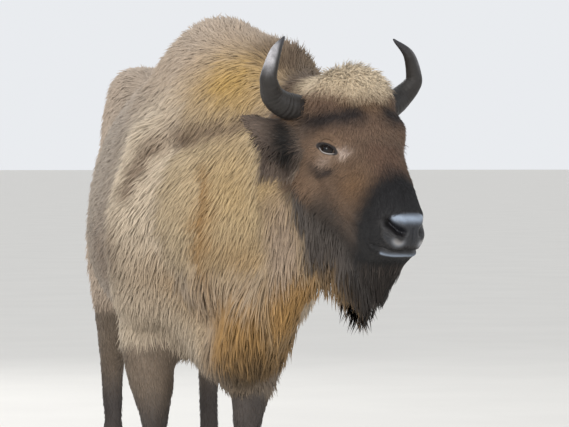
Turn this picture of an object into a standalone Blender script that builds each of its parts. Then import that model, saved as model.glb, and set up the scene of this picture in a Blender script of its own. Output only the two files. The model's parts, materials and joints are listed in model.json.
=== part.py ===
"""Wisent cow (European bison): a still, life-size model, parted into named solids.

Metres, +Z up. The animal faces -Y and its left side is +X. The origin is the bottom centre
of the whole model's box, with every hoof flat on z = 0. The solids reach to the tips of the coat.
The body is lofted along its limbs and spine, joined into one skin, and parted with thin cuts.
"""

import math

import bmesh
import bpy
import numpy as np
from mathutils import Matrix, Vector

# Driving sizes of the animal, coat included.
HORN_SPREAD = 0.253
HORN_RISE = 0.194
EYE_RADIUS = 0.021
EYE_SPACING = 0.117

# How the head is carried: turned to its own left, and the face sloping down.
HEAD_TURN = 28.0
FACE_SLOPE = 61.0
POLL = Vector((0.267, -0.808, 1.338))

EYE_DOWN = 0.17
EYE_OUT = -0.08

# Feet: the middle of each on the floor, and the two hooves on either side of it.
FEET = {
    "front_right": (-0.19, -0.125),
    "front_left": (0.052, -0.28),
    "hind_right": (-0.165, 0.955),
    "hind_left": (0.165, 1.105),
}
HOOF_HEIGHT = 0.078
CLAW_OFFSET = 0.030

# How the solids are made.
CUT_GAP = 0.0004
SHORTEST_EDGE = 0.00005
SKIN_VOXEL = 0.010
SMOOTHING = 8
CAP_TIP = 0.05
BODY_TRIANGLES = 3850
HEAD_FINENESS = 1e-4
HEAD_REACH = 0.42
SHARP_ANGLE = math.radians(50)

# Where the cuts through the body lie.
BRISKET_TOP = 0.84
NECK_BACK = -0.37
SHOULDERS_BACK = 0.22
RUMP_FRONT = 0.72

# Colours and roughness.
PALE_BUFF = (0.40, 0.31, 0.22)
BUFF = (0.34, 0.25, 0.15)
RUST = (0.21, 0.13, 0.06)
BROWN = (0.12, 0.08, 0.06)
DARK_BROWN = (0.06, 0.045, 0.04)
BLACK_BROWN = (0.03, 0.025, 0.022)
HORN_GREY = (0.07, 0.065, 0.065)
EYE_BLACK = (0.01, 0.01, 0.012)
FUR_ROUGHNESS = 0.9
HORN_ROUGHNESS = 0.45
EYE_ROUGHNESS = 0.08

SIDES = {"right": -1, "left": 1}

TURN = math.radians(HEAD_TURN)
SLOPE = math.radians(FACE_SLOPE)
FACING = Vector((math.sin(TURN), -math.cos(TURN), 0.0))
HEAD_LEFT = Vector((math.cos(TURN), math.sin(TURN), 0.0))
FACE_DOWN = FACING * math.cos(SLOPE) - Vector((0, 0, math.sin(SLOPE)))
FACE_OUT = FACING * math.sin(SLOPE) + Vector((0, 0, math.cos(SLOPE)))
HORN_LINE = POLL + 0.05 * FACE_DOWN - 0.07 * FACE_OUT
HEAD_MIDDLE = POLL + 0.20 * FACE_DOWN - 0.10 * FACE_OUT


def frame_of(origin, x_axis, y_axis):
    """The matrix of a frame with that origin and those first two axes."""
    z_axis = x_axis.cross(y_axis)
    turned = Matrix((x_axis, y_axis, z_axis)).transposed().to_4x4()
    return Matrix.Translation(origin) @ turned


# The cut behind the head runs from behind the poll to the throat; the beard's, under the jaw.
HEAD_CUT_SLOPE = (0.8386 * FACE_DOWN - 0.545 * FACE_OUT).normalized()
HEAD_CUT = frame_of(POLL - 0.112 * FACE_DOWN - 0.165 * FACE_OUT, -HEAD_LEFT, HEAD_CUT_SLOPE)
BEARD_CUT = frame_of(POLL + 0.20 * FACE_DOWN - 0.205 * FACE_OUT, -HEAD_LEFT, FACE_DOWN)
LEVEL_AT_HORNS = frame_of(HORN_LINE, HEAD_LEFT, -FACING)

# The two corners of the box that takes each leg off the trunk.
LEG_CUTS = {
    "front_right": ((-0.40, -0.30, 0.0), (-0.118, 0.20, 0.60)),
    "front_left": ((-0.02, -0.42, 0.0), (0.40, 0.20, 0.48)),
    "hind_right": ((-0.40, 0.74, 0.0), (-0.04, 1.30, 0.66)),
    "hind_left": ((0.04, 0.74, 0.0), (0.40, 1.40, 0.66)),
}


def in_head(down, out, left=0.0):
    """A place in the head, measured from the poll: down the face, out from it, and to its left."""
    return POLL + down * FACE_DOWN + out * FACE_OUT + left * HEAD_LEFT


def at_horns(left, forward, up):
    """A place measured level from the middle of the line between the horns."""
    return HORN_LINE + left * HEAD_LEFT + forward * FACING + Vector((0, 0, up))


def material(name, colour, roughness, metallic=0.0):
    """A plain Principled material."""
    made = bpy.data.materials.new(name)
    made.use_nodes = True
    shader = made.node_tree.nodes["Principled BSDF"]
    shader.inputs["Base Color"].default_value = (*colour, 1.0)
    shader.inputs["Roughness"].default_value = roughness
    shader.inputs["Metallic"].default_value = metallic
    return made


def curve_through(rows, steps):
    """A smooth curve through rows of numbers, as more rows."""
    rows = np.array(rows, float)
    rows = np.vstack([2 * rows[0] - rows[1], rows, 2 * rows[-1] - rows[-2]])
    made = []
    for before, start, end, after in zip(rows, rows[1:], rows[2:], rows[3:]):
        for t in np.arange(steps) / steps:
            bend = 2 * before - 5 * start + 4 * end - after
            swing = 3 * start - before - 3 * end + after
            made.append(start + 0.5 * ((end - before) * t + bend * t**2 + swing * t**3))
    made.append(rows[-2])
    return np.array(made)


def loft(stations, upright=(0, 0, 1), caps=(0.5, 0.5), square=2.0, sides=20, steps=5, rounds=4):
    """A closed round form along a path, as a bmesh.

    A station is (x, y, z, half width, height above the path, depth below it). Caps are the
    lengths of the rounded ends, as shares of the end's height, and 0 leaves an end flat.
    Square above 2 fills the corners. Steps lie between stations, and rounds on each cap.
    """
    rows = curve_through(stations, steps)
    path = rows[:, :3]
    sizes = np.maximum(rows[:, 3:], 0.002)
    along = np.gradient(path, axis=0)
    along /= np.linalg.norm(along, axis=1)[:, None]
    across = np.cross(along, np.array(upright, float))
    across /= np.linalg.norm(across, axis=1)[:, None]
    up = np.cross(across, along)
    rings = [(path[i], across[i], up[i], sizes[i]) for i in range(len(path))]

    def cap(index, share, way):
        length = share * (sizes[index][1] + sizes[index][2]) / 2
        for angle in np.linspace(0, math.pi / 2, rounds + 1)[1:] if share else ():
            scale = max(math.cos(angle), CAP_TIP)
            place = path[index] + way * along[index] * length * math.sin(angle)
            yield place, across[index], up[index], sizes[index] * scale

    rings = list(cap(0, caps[0], -1))[::-1] + rings + list(cap(-1, caps[1], 1))
    mesh = bmesh.new()
    loops = []
    for place, side, top, (width, above, below) in rings:
        loop = []
        for angle in np.arange(sides) * 2 * math.pi / sides:
            x, y = math.cos(angle), math.sin(angle)
            x = math.copysign(abs(x) ** (2 / square), x) * width
            y = math.copysign(abs(y) ** (2 / square), y) * (above if y > 0 else below)
            loop.append(mesh.verts.new(Vector(place + side * x + top * y)))
        loops.append(loop)
    for first, second in zip(loops, loops[1:]):
        for i in range(sides):
            j = (i + 1) % sides
            mesh.faces.new((first[i], first[j], second[j], second[i]))
    mesh.faces.new(loops[0][::-1])
    mesh.faces.new(loops[-1])
    bmesh.ops.recalc_face_normals(mesh, faces=mesh.faces)
    return mesh


def ball(place, radii, turned=None):
    """An ellipsoid, as a bmesh."""
    mesh = bmesh.new()
    bmesh.ops.create_icosphere(mesh, subdivisions=3, radius=1.0)
    turned = turned or Matrix.Identity(3)
    for vert in mesh.verts:
        vert.co = Vector(place) + turned @ Vector(c * r for c, r in zip(vert.co, radii))
    return mesh


def as_object(name, mesh):
    """An object made of a bmesh, linked into the scene."""
    data = bpy.data.meshes.new(name)
    mesh.to_mesh(data)
    mesh.free()
    made = bpy.data.objects.new(name, data)
    bpy.context.scene.collection.objects.link(made)
    return made


def joined(name, forms):
    """Several bmeshes as one object."""
    whole = bmesh.new()
    for form in forms:
        data = bpy.data.meshes.new(name)
        form.to_mesh(data)
        form.free()
        whole.from_mesh(data)
        bpy.data.meshes.remove(data)
    return as_object(name, whole)


def settle(made):
    """Applies an object's modifiers."""
    graph = bpy.context.evaluated_depsgraph_get()
    data = bpy.data.meshes.new_from_object(made.evaluated_get(graph))
    made.modifiers.clear()
    old = made.data
    made.data = data
    bpy.data.meshes.remove(old)
    return made


def mirrored(rows, side):
    """Stations for one side of the animal: side is -1 for its right and 1 for its left."""
    return [(side * row[0], *row[1:]) for row in rows]


def trunk_forms():
    """Barrel, hump, shoulders and haunches."""
    barrel = [
        (0.02, -0.44, 0.93, 0.20, 0.26, 0.24),
        (0.00, -0.25, 0.95, 0.27, 0.42, 0.37),
        (0.00, 0.00, 0.90, 0.29, 0.55, 0.35),
        (0.00, 0.25, 0.87, 0.310, 0.58, 0.31),
        (0.00, 0.50, 0.87, 0.315, 0.56, 0.29),
        (0.00, 0.75, 0.93, 0.29, 0.51, 0.29),
        (0.00, 0.97, 1.05, 0.24, 0.40, 0.33),
        (0.00, 1.13, 1.09, 0.18, 0.30, 0.27),
    ]
    hump = [
        (0.05, -0.46, 1.17, 0.13, 0.27, 0.22),
        (0.02, -0.28, 1.22, 0.17, 0.298, 0.30),
        (0.01, -0.08, 1.23, 0.185, 0.316, 0.34),
        (0.01, 0.12, 1.22, 0.190, 0.318, 0.34),
        (0.00, 0.35, 1.17, 0.185, 0.308, 0.30),
        (0.00, 0.60, 1.12, 0.16, 0.303, 0.25),
    ]
    haunch = [
        (0.095, 0.78, 1.14, 0.105, 0.275, 0.30),
        (0.105, 0.95, 1.12, 0.110, 0.300, 0.36),
        (0.10, 1.10, 1.06, 0.10, 0.265, 0.33),
    ]
    shoulders = {
        -1: [
            (-0.17, -0.22, 1.16, 0.12, 0.14, 0.15),
            (-0.225, -0.20, 0.95, 0.125, 0.17, 0.18),
            (-0.215, -0.13, 0.74, 0.115, 0.15, 0.15),
        ],
        1: [
            (0.15, -0.24, 1.16, 0.11, 0.14, 0.15),
            (0.185, -0.23, 0.95, 0.115, 0.17, 0.18),
            (0.170, -0.16, 0.74, 0.105, 0.15, 0.15),
        ],
    }
    forms = [loft(barrel), loft(hump, caps=(0.5, 0.9))]
    for side in (-1, 1):
        forms.append(loft(mirrored(haunch, side), square=2.6))
        forms.append(loft(shoulders[side], upright=(0, -1, 0), caps=(0.8, 0.6)))
    return forms


def neck_forms():
    """Neck, throat and the mane that hangs from chin to brisket."""
    neck = [
        (0.00, -0.20, 1.16, 0.22, 0.36, 0.42),
        (0.07, -0.42, 1.10, 0.20, 0.38, 0.36),
        (0.145, -0.60, 1.08, 0.175, 0.345, 0.28),
        (0.21, -0.74, 1.12, 0.15, 0.245, 0.22),
    ]
    mane = [
        (0.185, -0.745, 0.99, 0.085, 0.085, 0.10),
        (0.115, -0.65, 0.85, 0.09, 0.115, 0.10),
        (0.06, -0.56, 0.73, 0.105, 0.155, 0.11),
        (0.03, -0.44, 0.645, 0.115, 0.20, 0.12),
        (0.01, -0.28, 0.60, 0.12, 0.20, 0.13),
        (0.00, -0.08, 0.60, 0.12, 0.18, 0.08),
    ]
    return [loft(neck, caps=(0.5, 0.4)), loft(mane, caps=(0.6, 0.6))]


def head_station(down, out, width, above, below):
    """A head section: its place down the face, its middle's depth, and its sizes."""
    return (*in_head(down, out), width, above, below)


def head_forms():
    """Skull, muzzle, wool of the poll, cheeks and beard."""
    upright = tuple(FACE_OUT)
    skull = [
        head_station(-0.01, -0.09, 0.10, 0.085, 0.06),
        head_station(0.05, -0.10, 0.14, 0.118, 0.12),
        head_station(0.11, -0.105, 0.145, 0.125, 0.16),
        head_station(0.17, -0.105, 0.13, 0.115, 0.18),
        head_station(0.24, -0.10, 0.119, 0.114, 0.17),
        head_station(0.31, -0.095, 0.108, 0.116, 0.145),
        head_station(0.38, -0.085, 0.094, 0.112, 0.11),
        head_station(0.44, -0.075, 0.081, 0.103, 0.09),
        head_station(0.475, -0.07, 0.071, 0.085, 0.08),
    ]
    beard = [
        (*in_head(0.50, -0.120), 0.030, 0.03, 0.05),
        (*in_head(0.46, -0.170), 0.045, 0.06, 0.158),
        (*in_head(0.38, -0.22), 0.070, 0.08, 0.136),
        (*in_head(0.29, -0.255), 0.095, 0.10, 0.12),
        (*in_head(0.20, -0.27), 0.11, 0.12, 0.12),
    ]
    face_turn = Matrix((-HEAD_LEFT, FACE_DOWN, FACE_OUT)).transposed()
    forms = [
        loft(skull, upright=upright, caps=(0.5, 0.45), square=2.3),
        loft(beard, caps=(0.6, 0.6)),
        ball(in_head(0.02, -0.045), (0.130, 0.085, 0.070), face_turn),
        ball(in_head(0.455, -0.040), (0.074, 0.045, 0.058), face_turn),
    ]
    for side in (-1, 1):
        forms.append(ball(in_head(0.23, -0.205, 0.06 * side), (0.07, 0.12, 0.09), face_turn))
        forms.append(ball(in_head(0.135, -0.045, 0.098 * side), (0.045, 0.06, 0.048), face_turn))
    return forms


LEG_PATHS = {
    "front_right": [
        (-0.205, -0.08, 0.76, 0.11, 0.14, 0.16),
        (-0.20, -0.06, 0.60, 0.095, 0.105, 0.115),
        (-0.195, -0.07, 0.48, 0.078, 0.078, 0.085),
        (-0.19, -0.085, 0.385, 0.054, 0.056, 0.05),
        (-0.19, -0.085, 0.30, 0.044, 0.046, 0.046),
        (-0.19, -0.08, 0.20, 0.040, 0.041, 0.045),
        (-0.19, -0.085, 0.13, 0.048, 0.048, 0.055),
        (-0.19, -0.115, 0.070, 0.050, 0.046, 0.050),
    ],
    "front_left": [
        (0.155, -0.11, 0.76, 0.10, 0.14, 0.16),
        (0.115, -0.17, 0.61, 0.085, 0.100, 0.115),
        (0.072, -0.25, 0.49, 0.070, 0.072, 0.082),
        (0.045, -0.30, 0.395, 0.056, 0.058, 0.052),
        (0.052, -0.285, 0.30, 0.044, 0.046, 0.046),
        (0.062, -0.25, 0.20, 0.040, 0.041, 0.045),
        (0.062, -0.245, 0.13, 0.048, 0.048, 0.055),
        (0.062, -0.27, 0.070, 0.050, 0.046, 0.050),
    ],
    "hind_right": [
        (-0.15, 0.93, 0.90, 0.12, 0.19, 0.19),
        (-0.17, 0.88, 0.76, 0.10, 0.15, 0.16),
        (-0.17, 0.95, 0.62, 0.072, 0.085, 0.10),
        (-0.165, 1.05, 0.49, 0.052, 0.058, 0.062),
        (-0.165, 1.06, 0.40, 0.044, 0.050, 0.048),
        (-0.165, 1.03, 0.27, 0.042, 0.044, 0.045),
        (-0.165, 1.00, 0.14, 0.048, 0.048, 0.055),
        (-0.165, 0.965, 0.070, 0.050, 0.046, 0.050),
    ],
    "hind_left": [
        (0.15, 0.96, 0.90, 0.12, 0.19, 0.19),
        (0.17, 0.95, 0.76, 0.10, 0.15, 0.16),
        (0.17, 1.05, 0.62, 0.072, 0.085, 0.10),
        (0.165, 1.17, 0.50, 0.052, 0.058, 0.062),
        (0.165, 1.185, 0.41, 0.044, 0.050, 0.048),
        (0.165, 1.17, 0.28, 0.042, 0.044, 0.045),
        (0.165, 1.15, 0.14, 0.048, 0.048, 0.055),
        (0.165, 1.115, 0.070, 0.050, 0.046, 0.050),
    ],
}


def leg_forms():
    """Four legs down to the coronets."""
    return [loft(path, upright=(0, -1, 0), caps=(0.5, 0.35)) for path in LEG_PATHS.values()]


TAIL_PATH = [
    (0.0, 1.16, 1.27, 0.050, 0.05, 0.05),
    (0.0, 1.245, 1.20, 0.036, 0.036, 0.036),
    (0.0, 1.275, 1.05, 0.032, 0.032, 0.032),
    (0.0, 1.28, 0.90, 0.032, 0.034, 0.034),
    (0.0, 1.275, 0.76, 0.050, 0.050, 0.050),
    (0.0, 1.27, 0.62, 0.050, 0.050, 0.050),
    (0.0, 1.27, 0.52, 0.020, 0.020, 0.020),
]


def tail_forms():
    """Dock and switch, hanging at rest."""
    return [loft(TAIL_PATH, upright=(0, 1, 0), caps=(0.5, 0.8))]


def ear_forms(side):
    """One leaf-shaped ear, held out to the side and a little back."""
    rows = [
        (*at_horns(0.115 * side, -0.005, -0.106), 0.038, 0.028, 0.028),
        (*at_horns(0.150 * side, -0.030, -0.096), 0.050, 0.027, 0.025),
        (*at_horns(0.190 * side, -0.070, -0.078), 0.054, 0.023, 0.021),
        (*at_horns(0.225 * side, -0.112, -0.050), 0.043, 0.018, 0.017),
        (*at_horns(0.250 * side, -0.143, -0.028), 0.021, 0.012, 0.012),
    ]
    upright = tuple(FACING + Vector((0, 0, 0.25)))
    return loft(rows, upright=upright, caps=(0.5, 0.8), sides=14, steps=4)


def horn(side, grown=0.0):
    """One slender horn: out, up, and in again at the tip."""
    rows = [
        (*at_horns(0.110 * side, -0.056, -0.002), 0.038, 0.038, 0.038),
        (*at_horns(0.155 * side, -0.056, 0.004), 0.0375, 0.0375, 0.0375),
        (*at_horns(0.192 * side, -0.057, 0.014), 0.036, 0.036, 0.036),
        (*at_horns(0.224 * side, -0.055, 0.035), 0.032, 0.032, 0.032),
        (*at_horns(0.247 * side, -0.040, 0.064), 0.026, 0.026, 0.026),
        (*at_horns(HORN_SPREAD * side, -0.034, 0.090), 0.0225, 0.0225, 0.0225),
        (*at_horns(0.233 * side, -0.032, 0.150), 0.0155, 0.0155, 0.0155),
        (*at_horns(0.189 * side, -0.047, HORN_RISE), 0.003, 0.003, 0.003),
    ]
    rows = [(*row[:3], row[3] + grown, row[4] + grown, row[5] + grown) for row in rows]
    return loft(rows, upright=tuple(FACING), caps=(0.3, 0.6), sides=10, steps=1, rounds=2)


def claw_stations(foot, side, grown=0.0):
    """One of a foot's two hooves, from the ground up; grown widens it all round, for its socket."""
    x, y = foot
    x += side * CLAW_OFFSET
    rows = [
        (0.0, 0.0, 0.0275, 0.066, 0.050),
        (0.0, 0.0, 0.0250, 0.050, 0.045),
        (0.0, 0.004, 0.0200, 0.030, 0.032),
    ]
    heights = (-grown, 0.035, HOOF_HEIGHT + grown)
    return [
        (x + dx, y + dy, z, wide + grown, front + grown, back + grown)
        for z, (dx, dy, wide, front, back) in zip(heights, rows)
    ]


def claw(foot, side, grown=0.0):
    """A hoof with a flat sole."""
    stations = claw_stations(foot, side, grown)
    return loft(stations, upright=(0, -1, 0), caps=(0, 0), square=2.4, sides=10, steps=1)


def dewclaw(foot, side, grown=0.0):
    """One of the two small claws behind the fetlock."""
    x, y = foot[0] + side * 0.027, foot[1] + 0.075
    rows = [(0.0, -0.034, 0.132, 0.015), (0.0, -0.018, 0.122, 0.014), (0.0, 0.002, 0.108, 0.007)]
    stations = [
        (x + dx, y + dy, z, size + grown, size + grown, size + grown) for dx, dy, z, size in rows
    ]
    return loft(stations, caps=(0.4, 0.9), sides=6, steps=1, rounds=1)


def eye(side, grown=0.0):
    """One eyeball."""
    place = in_head(EYE_DOWN, EYE_OUT, EYE_SPACING * side)
    mesh = bmesh.new()
    bmesh.ops.create_icosphere(mesh, subdivisions=2, radius=EYE_RADIUS + grown)
    bmesh.ops.translate(mesh, verts=mesh.verts, vec=place)
    return mesh


def whole_body():
    """The body as one closed skin, with its smallest facets on the head."""
    forms = trunk_forms() + neck_forms() + head_forms() + leg_forms() + tail_forms()
    forms += [ear_forms(-1), ear_forms(1)]
    body = joined("body", forms)
    remesh = body.modifiers.new("one skin", "REMESH")
    remesh.mode = "VOXEL"
    remesh.voxel_size = SKIN_VOXEL
    smooth = body.modifiers.new("soft joins", "SMOOTH")
    smooth.factor = 0.5
    smooth.iterations = SMOOTHING
    settle(body)
    coarse = body.vertex_groups.new(name="away from the head")
    for vert in body.data.vertices:
        near = (vert.co - HEAD_MIDDLE).length < HEAD_REACH
        coarse.add([vert.index], 0.5 if near else 1.0, "REPLACE")
    thin = body.modifiers.new("facets", "DECIMATE")
    thin.ratio = BODY_TRIANGLES / triangle_count(body)
    thin.vertex_group = coarse.name
    thin.vertex_group_factor = HEAD_FINENESS
    settle(body)
    body.vertex_groups.clear()
    return body


def triangle_count(made):
    """How many triangles an object's faces make."""
    return sum(len(face.vertices) - 2 for face in made.data.polygons)


def cut(made, cutter, operation):
    """Applies one exact Boolean."""
    step = made.modifiers.new("cut", "BOOLEAN")
    step.operation = operation
    step.object = cutter
    settle(made)


def keep_largest(made):
    """Leaves only the largest closed body of an object, and closes up its shortest edges."""
    mesh = bmesh.new()
    mesh.from_mesh(made.data)
    bmesh.ops.remove_doubles(mesh, verts=mesh.verts, dist=SHORTEST_EDGE)
    bmesh.ops.triangulate(mesh, faces=mesh.faces)
    bmesh.ops.dissolve_degenerate(mesh, edges=mesh.edges, dist=SHORTEST_EDGE)
    left = set(mesh.verts)
    pieces = []
    while left:
        piece, edge = set(), [left.pop()]
        while edge:
            vert = edge.pop()
            piece.add(vert)
            for link in vert.link_edges:
                other = link.other_vert(vert)
                if other in left:
                    left.discard(other)
                    edge.append(other)
        pieces.append(piece)
    pieces.sort(key=len)
    for piece in pieces[:-1]:
        bmesh.ops.delete(mesh, geom=list(piece), context="VERTS")
    mesh.to_mesh(made.data)
    mesh.free()


def box_between(low, high, frame=None):
    """A box as an object, between two corners given in a frame, kept out of the render."""
    mesh = bmesh.new()
    bmesh.ops.create_cube(mesh, size=1.0)
    low, high = Vector(low), Vector(high)
    for vert in mesh.verts:
        vert.co = Vector(a + (b - a) * (c + 0.5) for a, b, c in zip(low, high, vert.co))
    if frame:
        bmesh.ops.transform(mesh, matrix=frame, verts=mesh.verts)
    box = as_object("cutter", mesh)
    box.hide_render = True
    box.display_type = "WIRE"
    return box


def part_off(body, name, low, high, frame=None):
    """Takes what lies in a box off the body, as a part of its own with a thin gap between."""
    part = body.copy()
    part.data = body.data.copy()
    part.name = name
    bpy.context.scene.collection.objects.link(part)
    inner = box_between(low, high, frame)
    cut(part, inner, "INTERSECT")
    gap = Vector((CUT_GAP, CUT_GAP, CUT_GAP))
    outer = box_between(Vector(low) - gap, Vector(high) + gap, frame)
    cut(body, outer, "DIFFERENCE")
    for cutter in (inner, outer):
        bpy.data.objects.remove(cutter)
    keep_largest(part)
    keep_largest(body)
    return part


def finish(made, colour, roughness):
    """Gives a part its own material and smooth shading."""
    made.data.materials.clear()
    made.data.materials.append(material(made.name, colour, roughness))
    made.data.shade_smooth()
    made.data.set_sharp_from_angle(angle=SHARP_ANGLE)


def stand_on_origin(parts):
    """Moves every part so that the origin is under the middle of the whole model's box."""
    corners = np.array([corner for part in parts for corner in part.bound_box])
    middle = (corners.min(axis=0) + corners.max(axis=0)) / 2
    for part in parts:
        part.location = (-middle[0], -middle[1], 0.0)


def cut_sockets(body):
    """Hollows the body where the eyes, horns, hooves and dewclaws sit, with a thin gap."""
    sockets = []
    for side in SIDES.values():
        sockets += [eye(side, CUT_GAP), horn(side, CUT_GAP)]
        for foot in FEET.values():
            sockets += [claw(foot, side, CUT_GAP), dewclaw(foot, side, CUT_GAP)]
    hollow = joined("sockets", sockets)
    cut(body, hollow, "DIFFERENCE")
    bpy.data.objects.remove(hollow)


def divide(body):
    """Parts the body where a person would name its parts. Returns them with their colours."""
    parts = {}
    head = part_off(body, "head", (-0.40, -0.20, 0.0), (0.40, 0.73, 0.75), HEAD_CUT)
    for name, side in SIDES.items():
        low, high = sorted((0.158 * side, 0.40 * side))
        box = ((low, -0.05, -0.175), (high, 0.25, 0.004), LEVEL_AT_HORNS)
        parts[part_off(head, "ear_" + name, *box)] = DARK_BROWN
    beard = part_off(head, "beard", (-0.3, 0.0, -0.4), (0.3, 0.5, 0.0), BEARD_CUT)
    neck = part_off(body, "neck", (-0.4, -0.9, BRISKET_TOP), (0.6, NECK_BACK, 1.6))
    brisket = part_off(body, "brisket", (-0.3, -0.9, 0.40), (0.4, NECK_BACK, BRISKET_TOP))
    tail = part_off(body, "tail", (-0.06, 1.243, 0.40), (0.06, 1.40, 1.35))
    switch = part_off(tail, "tail_switch", (-0.1, 1.20, 0.40), (0.1, 1.40, 0.83))
    for leg, (low, high) in LEG_CUTS.items():
        parts[part_off(body, "leg_" + leg, low, high)] = DARK_BROWN
    shoulders = part_off(body, "shoulders", (-0.5, -0.6, 0.3), (0.5, SHOULDERS_BACK, 1.7))
    rump = part_off(body, "rump", (-0.4, RUMP_FRONT, 0.4), (0.4, 1.40, 1.6))
    body.name = "barrel"
    parts |= {head: BROWN, beard: BLACK_BROWN, neck: BUFF, brisket: RUST, tail: BROWN}
    parts |= {switch: BLACK_BROWN, shoulders: BUFF, body: BUFF, rump: PALE_BUFF}
    return parts


def main():
    """Clears the scene and builds every part."""
    for old in list(bpy.data.objects):
        bpy.data.objects.remove(old)
    body = whole_body()
    cut_sockets(body)
    parts = divide(body)
    for part, colour in parts.items():
        finish(part, colour, FUR_ROUGHNESS)
    hard = {}
    for name, side in SIDES.items():
        hard[as_object("eye_" + name, eye(side))] = EYE_BLACK
        hard[as_object("horn_" + name, horn(side))] = HORN_GREY
        for leg, foot in FEET.items():
            place = "outer" if leg.endswith(name) else "inner"
            hard[as_object("hoof_" + leg + "_" + place, claw(foot, side))] = HORN_GREY
            hard[as_object("dewclaw_" + leg + "_" + place, dewclaw(foot, side))] = HORN_GREY
    for part, colour in hard.items():
        finish(part, colour, EYE_ROUGHNESS if colour == EYE_BLACK else HORN_ROUGHNESS)
    stand_on_origin(list(parts) + list(hard))


main()
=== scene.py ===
"""Looks of a still, life-size wisent cow: skin, winter coat, eyes, horns and hooves.

Metres, +Z up. The animal faces -Y and its left side is +X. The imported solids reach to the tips
of the coat: one skin lies inside them by the coat's depth, tufts of hair are rooted on it, and
the eyes, horns, hooves and dewclaws are pieces of their own.

Places on the head are rows of three: down the face from the poll, out from it, and to the
animal's left. In folded rows the last is the distance from the middle, whichever the side.
"""

import json
import logging
import math
from collections.abc import Callable
from dataclasses import dataclass
from enum import Enum
from functools import cache

import bmesh
import bpy
import numpy as np
from bpy.types import Collection, Material, Mesh, Node, NodeSocket, NodeTree, Object
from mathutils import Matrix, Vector
from mathutils.bvhtree import BVHTree

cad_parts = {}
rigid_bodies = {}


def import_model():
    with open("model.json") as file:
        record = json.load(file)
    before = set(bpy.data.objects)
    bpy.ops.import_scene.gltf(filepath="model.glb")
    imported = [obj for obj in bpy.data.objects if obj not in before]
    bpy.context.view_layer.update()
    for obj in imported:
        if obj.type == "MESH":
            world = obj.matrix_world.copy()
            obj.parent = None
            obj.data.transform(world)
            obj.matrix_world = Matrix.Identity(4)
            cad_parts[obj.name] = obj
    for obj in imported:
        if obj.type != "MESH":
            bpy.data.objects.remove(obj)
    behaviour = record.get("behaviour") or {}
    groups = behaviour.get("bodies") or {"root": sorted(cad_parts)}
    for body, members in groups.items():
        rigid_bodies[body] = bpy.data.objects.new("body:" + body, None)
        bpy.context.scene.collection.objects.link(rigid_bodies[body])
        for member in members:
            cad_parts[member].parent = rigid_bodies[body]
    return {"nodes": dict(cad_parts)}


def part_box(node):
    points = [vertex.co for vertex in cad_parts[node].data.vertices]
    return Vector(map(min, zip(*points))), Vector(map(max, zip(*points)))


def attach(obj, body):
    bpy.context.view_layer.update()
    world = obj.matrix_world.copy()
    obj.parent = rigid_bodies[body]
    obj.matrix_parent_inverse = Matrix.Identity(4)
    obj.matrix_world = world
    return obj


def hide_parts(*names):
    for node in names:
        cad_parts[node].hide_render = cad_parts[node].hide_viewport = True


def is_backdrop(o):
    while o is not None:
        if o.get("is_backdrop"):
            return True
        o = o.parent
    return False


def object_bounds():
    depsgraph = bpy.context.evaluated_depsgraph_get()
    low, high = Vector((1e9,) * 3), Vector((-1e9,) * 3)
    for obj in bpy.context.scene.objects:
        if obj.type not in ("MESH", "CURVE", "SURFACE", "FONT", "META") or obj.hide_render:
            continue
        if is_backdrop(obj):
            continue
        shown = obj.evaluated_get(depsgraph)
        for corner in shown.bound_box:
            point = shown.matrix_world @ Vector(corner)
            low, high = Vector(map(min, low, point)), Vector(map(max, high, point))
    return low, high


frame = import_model()

Array = np.ndarray
LOG = logging.getLogger("wisent")
BODY = "root"
UP = np.array((0.0, 0.0, 1.0))
SIDES = {"right": -1, "left": 1}
HARD_PARTS = ("eye", "horn", "hoof", "dewclaw")
FULL_TURN = 2 * math.pi
# Blender's kind of attribute, and its key, for each width of a row.
KINDS = {1: ("FLOAT", "value"), 3: ("FLOAT_VECTOR", "vector"), 4: ("FLOAT_COLOR", "color")}


def ease(low: float, high: float, value: Array) -> Array:
    """A smooth rise from 0 to 1.

    Args:
        low: where the rise starts; it may lie above high, and then the rise is a fall.
        high: where it ends.
        value: the numbers to read it at.

    Returns:
        The rise at each number.
    """
    t = np.clip((value - low) / (high - low), 0.0, 1.0)
    return t * t * (3.0 - 2.0 * t)


def spot(points: Array, centre: tuple, radii: tuple) -> Array:
    """1 at a soft spot's middle, mostly faded at its radii along each axis."""
    return np.exp(-(((points - np.array(centre)) / np.array(radii)) ** 2).sum(1))


def wobble(points: Array, size: float, reach: float) -> Array:
    """Small, smooth offsets that make a border between two colours uneven.

    Args:
        points: the places.
        size: about how long a wave is.
        reach: the largest offset.

    Returns:
        An offset for each place.
    """
    turns = points @ np.array(((1.0, 0.7, -0.4), (-0.6, 1.0, 0.8), (0.5, -0.9, 1.0))) * (FULL_TURN / size)
    waves = np.sin(turns + 1.7 * np.sin(turns[:, ::-1] * 0.61))
    waves = waves + 0.5 * np.sin(turns[:, [1, 2, 0]] * 2.3 + 1.0)
    return waves * reach / 1.5


def nearest_rows(rows: Array, path: list) -> list:
    """A path laid on a surface: each of its points moved to the nearest of the surface's rows."""
    return [tuple(rows[((rows - np.array(point)) ** 2).sum(1).argmin()]) for point in path]


def stroke(points: Array, path: list, width: float) -> Array:
    """A soft brush stroke along a path that is first laid on the points' surface.

    Args:
        points: rows of three numbers, which cover the whole surface.
        path: the points the stroke runs through.
        width: how far from the path it has faded to about a third.

    Returns:
        1 on the path and 0 far from it, for each point.
    """
    best = np.full(len(points), np.inf)
    laid = np.array(nearest_rows(points, path))
    for start, end in zip(laid, laid[1:]):
        run = end - start
        share = np.clip((points - start) @ run / max(run @ run, 1e-9), 0, 1)
        best = np.minimum(best, ((points - start - share[:, None] * run) ** 2).sum(1))
    return np.exp(-best / width**2)


def unit(rows: Array) -> Array:
    """Rows, or one row, scaled to length 1."""
    return rows / np.maximum(np.linalg.norm(rows, axis=-1, keepdims=True), 1e-9)


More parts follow.
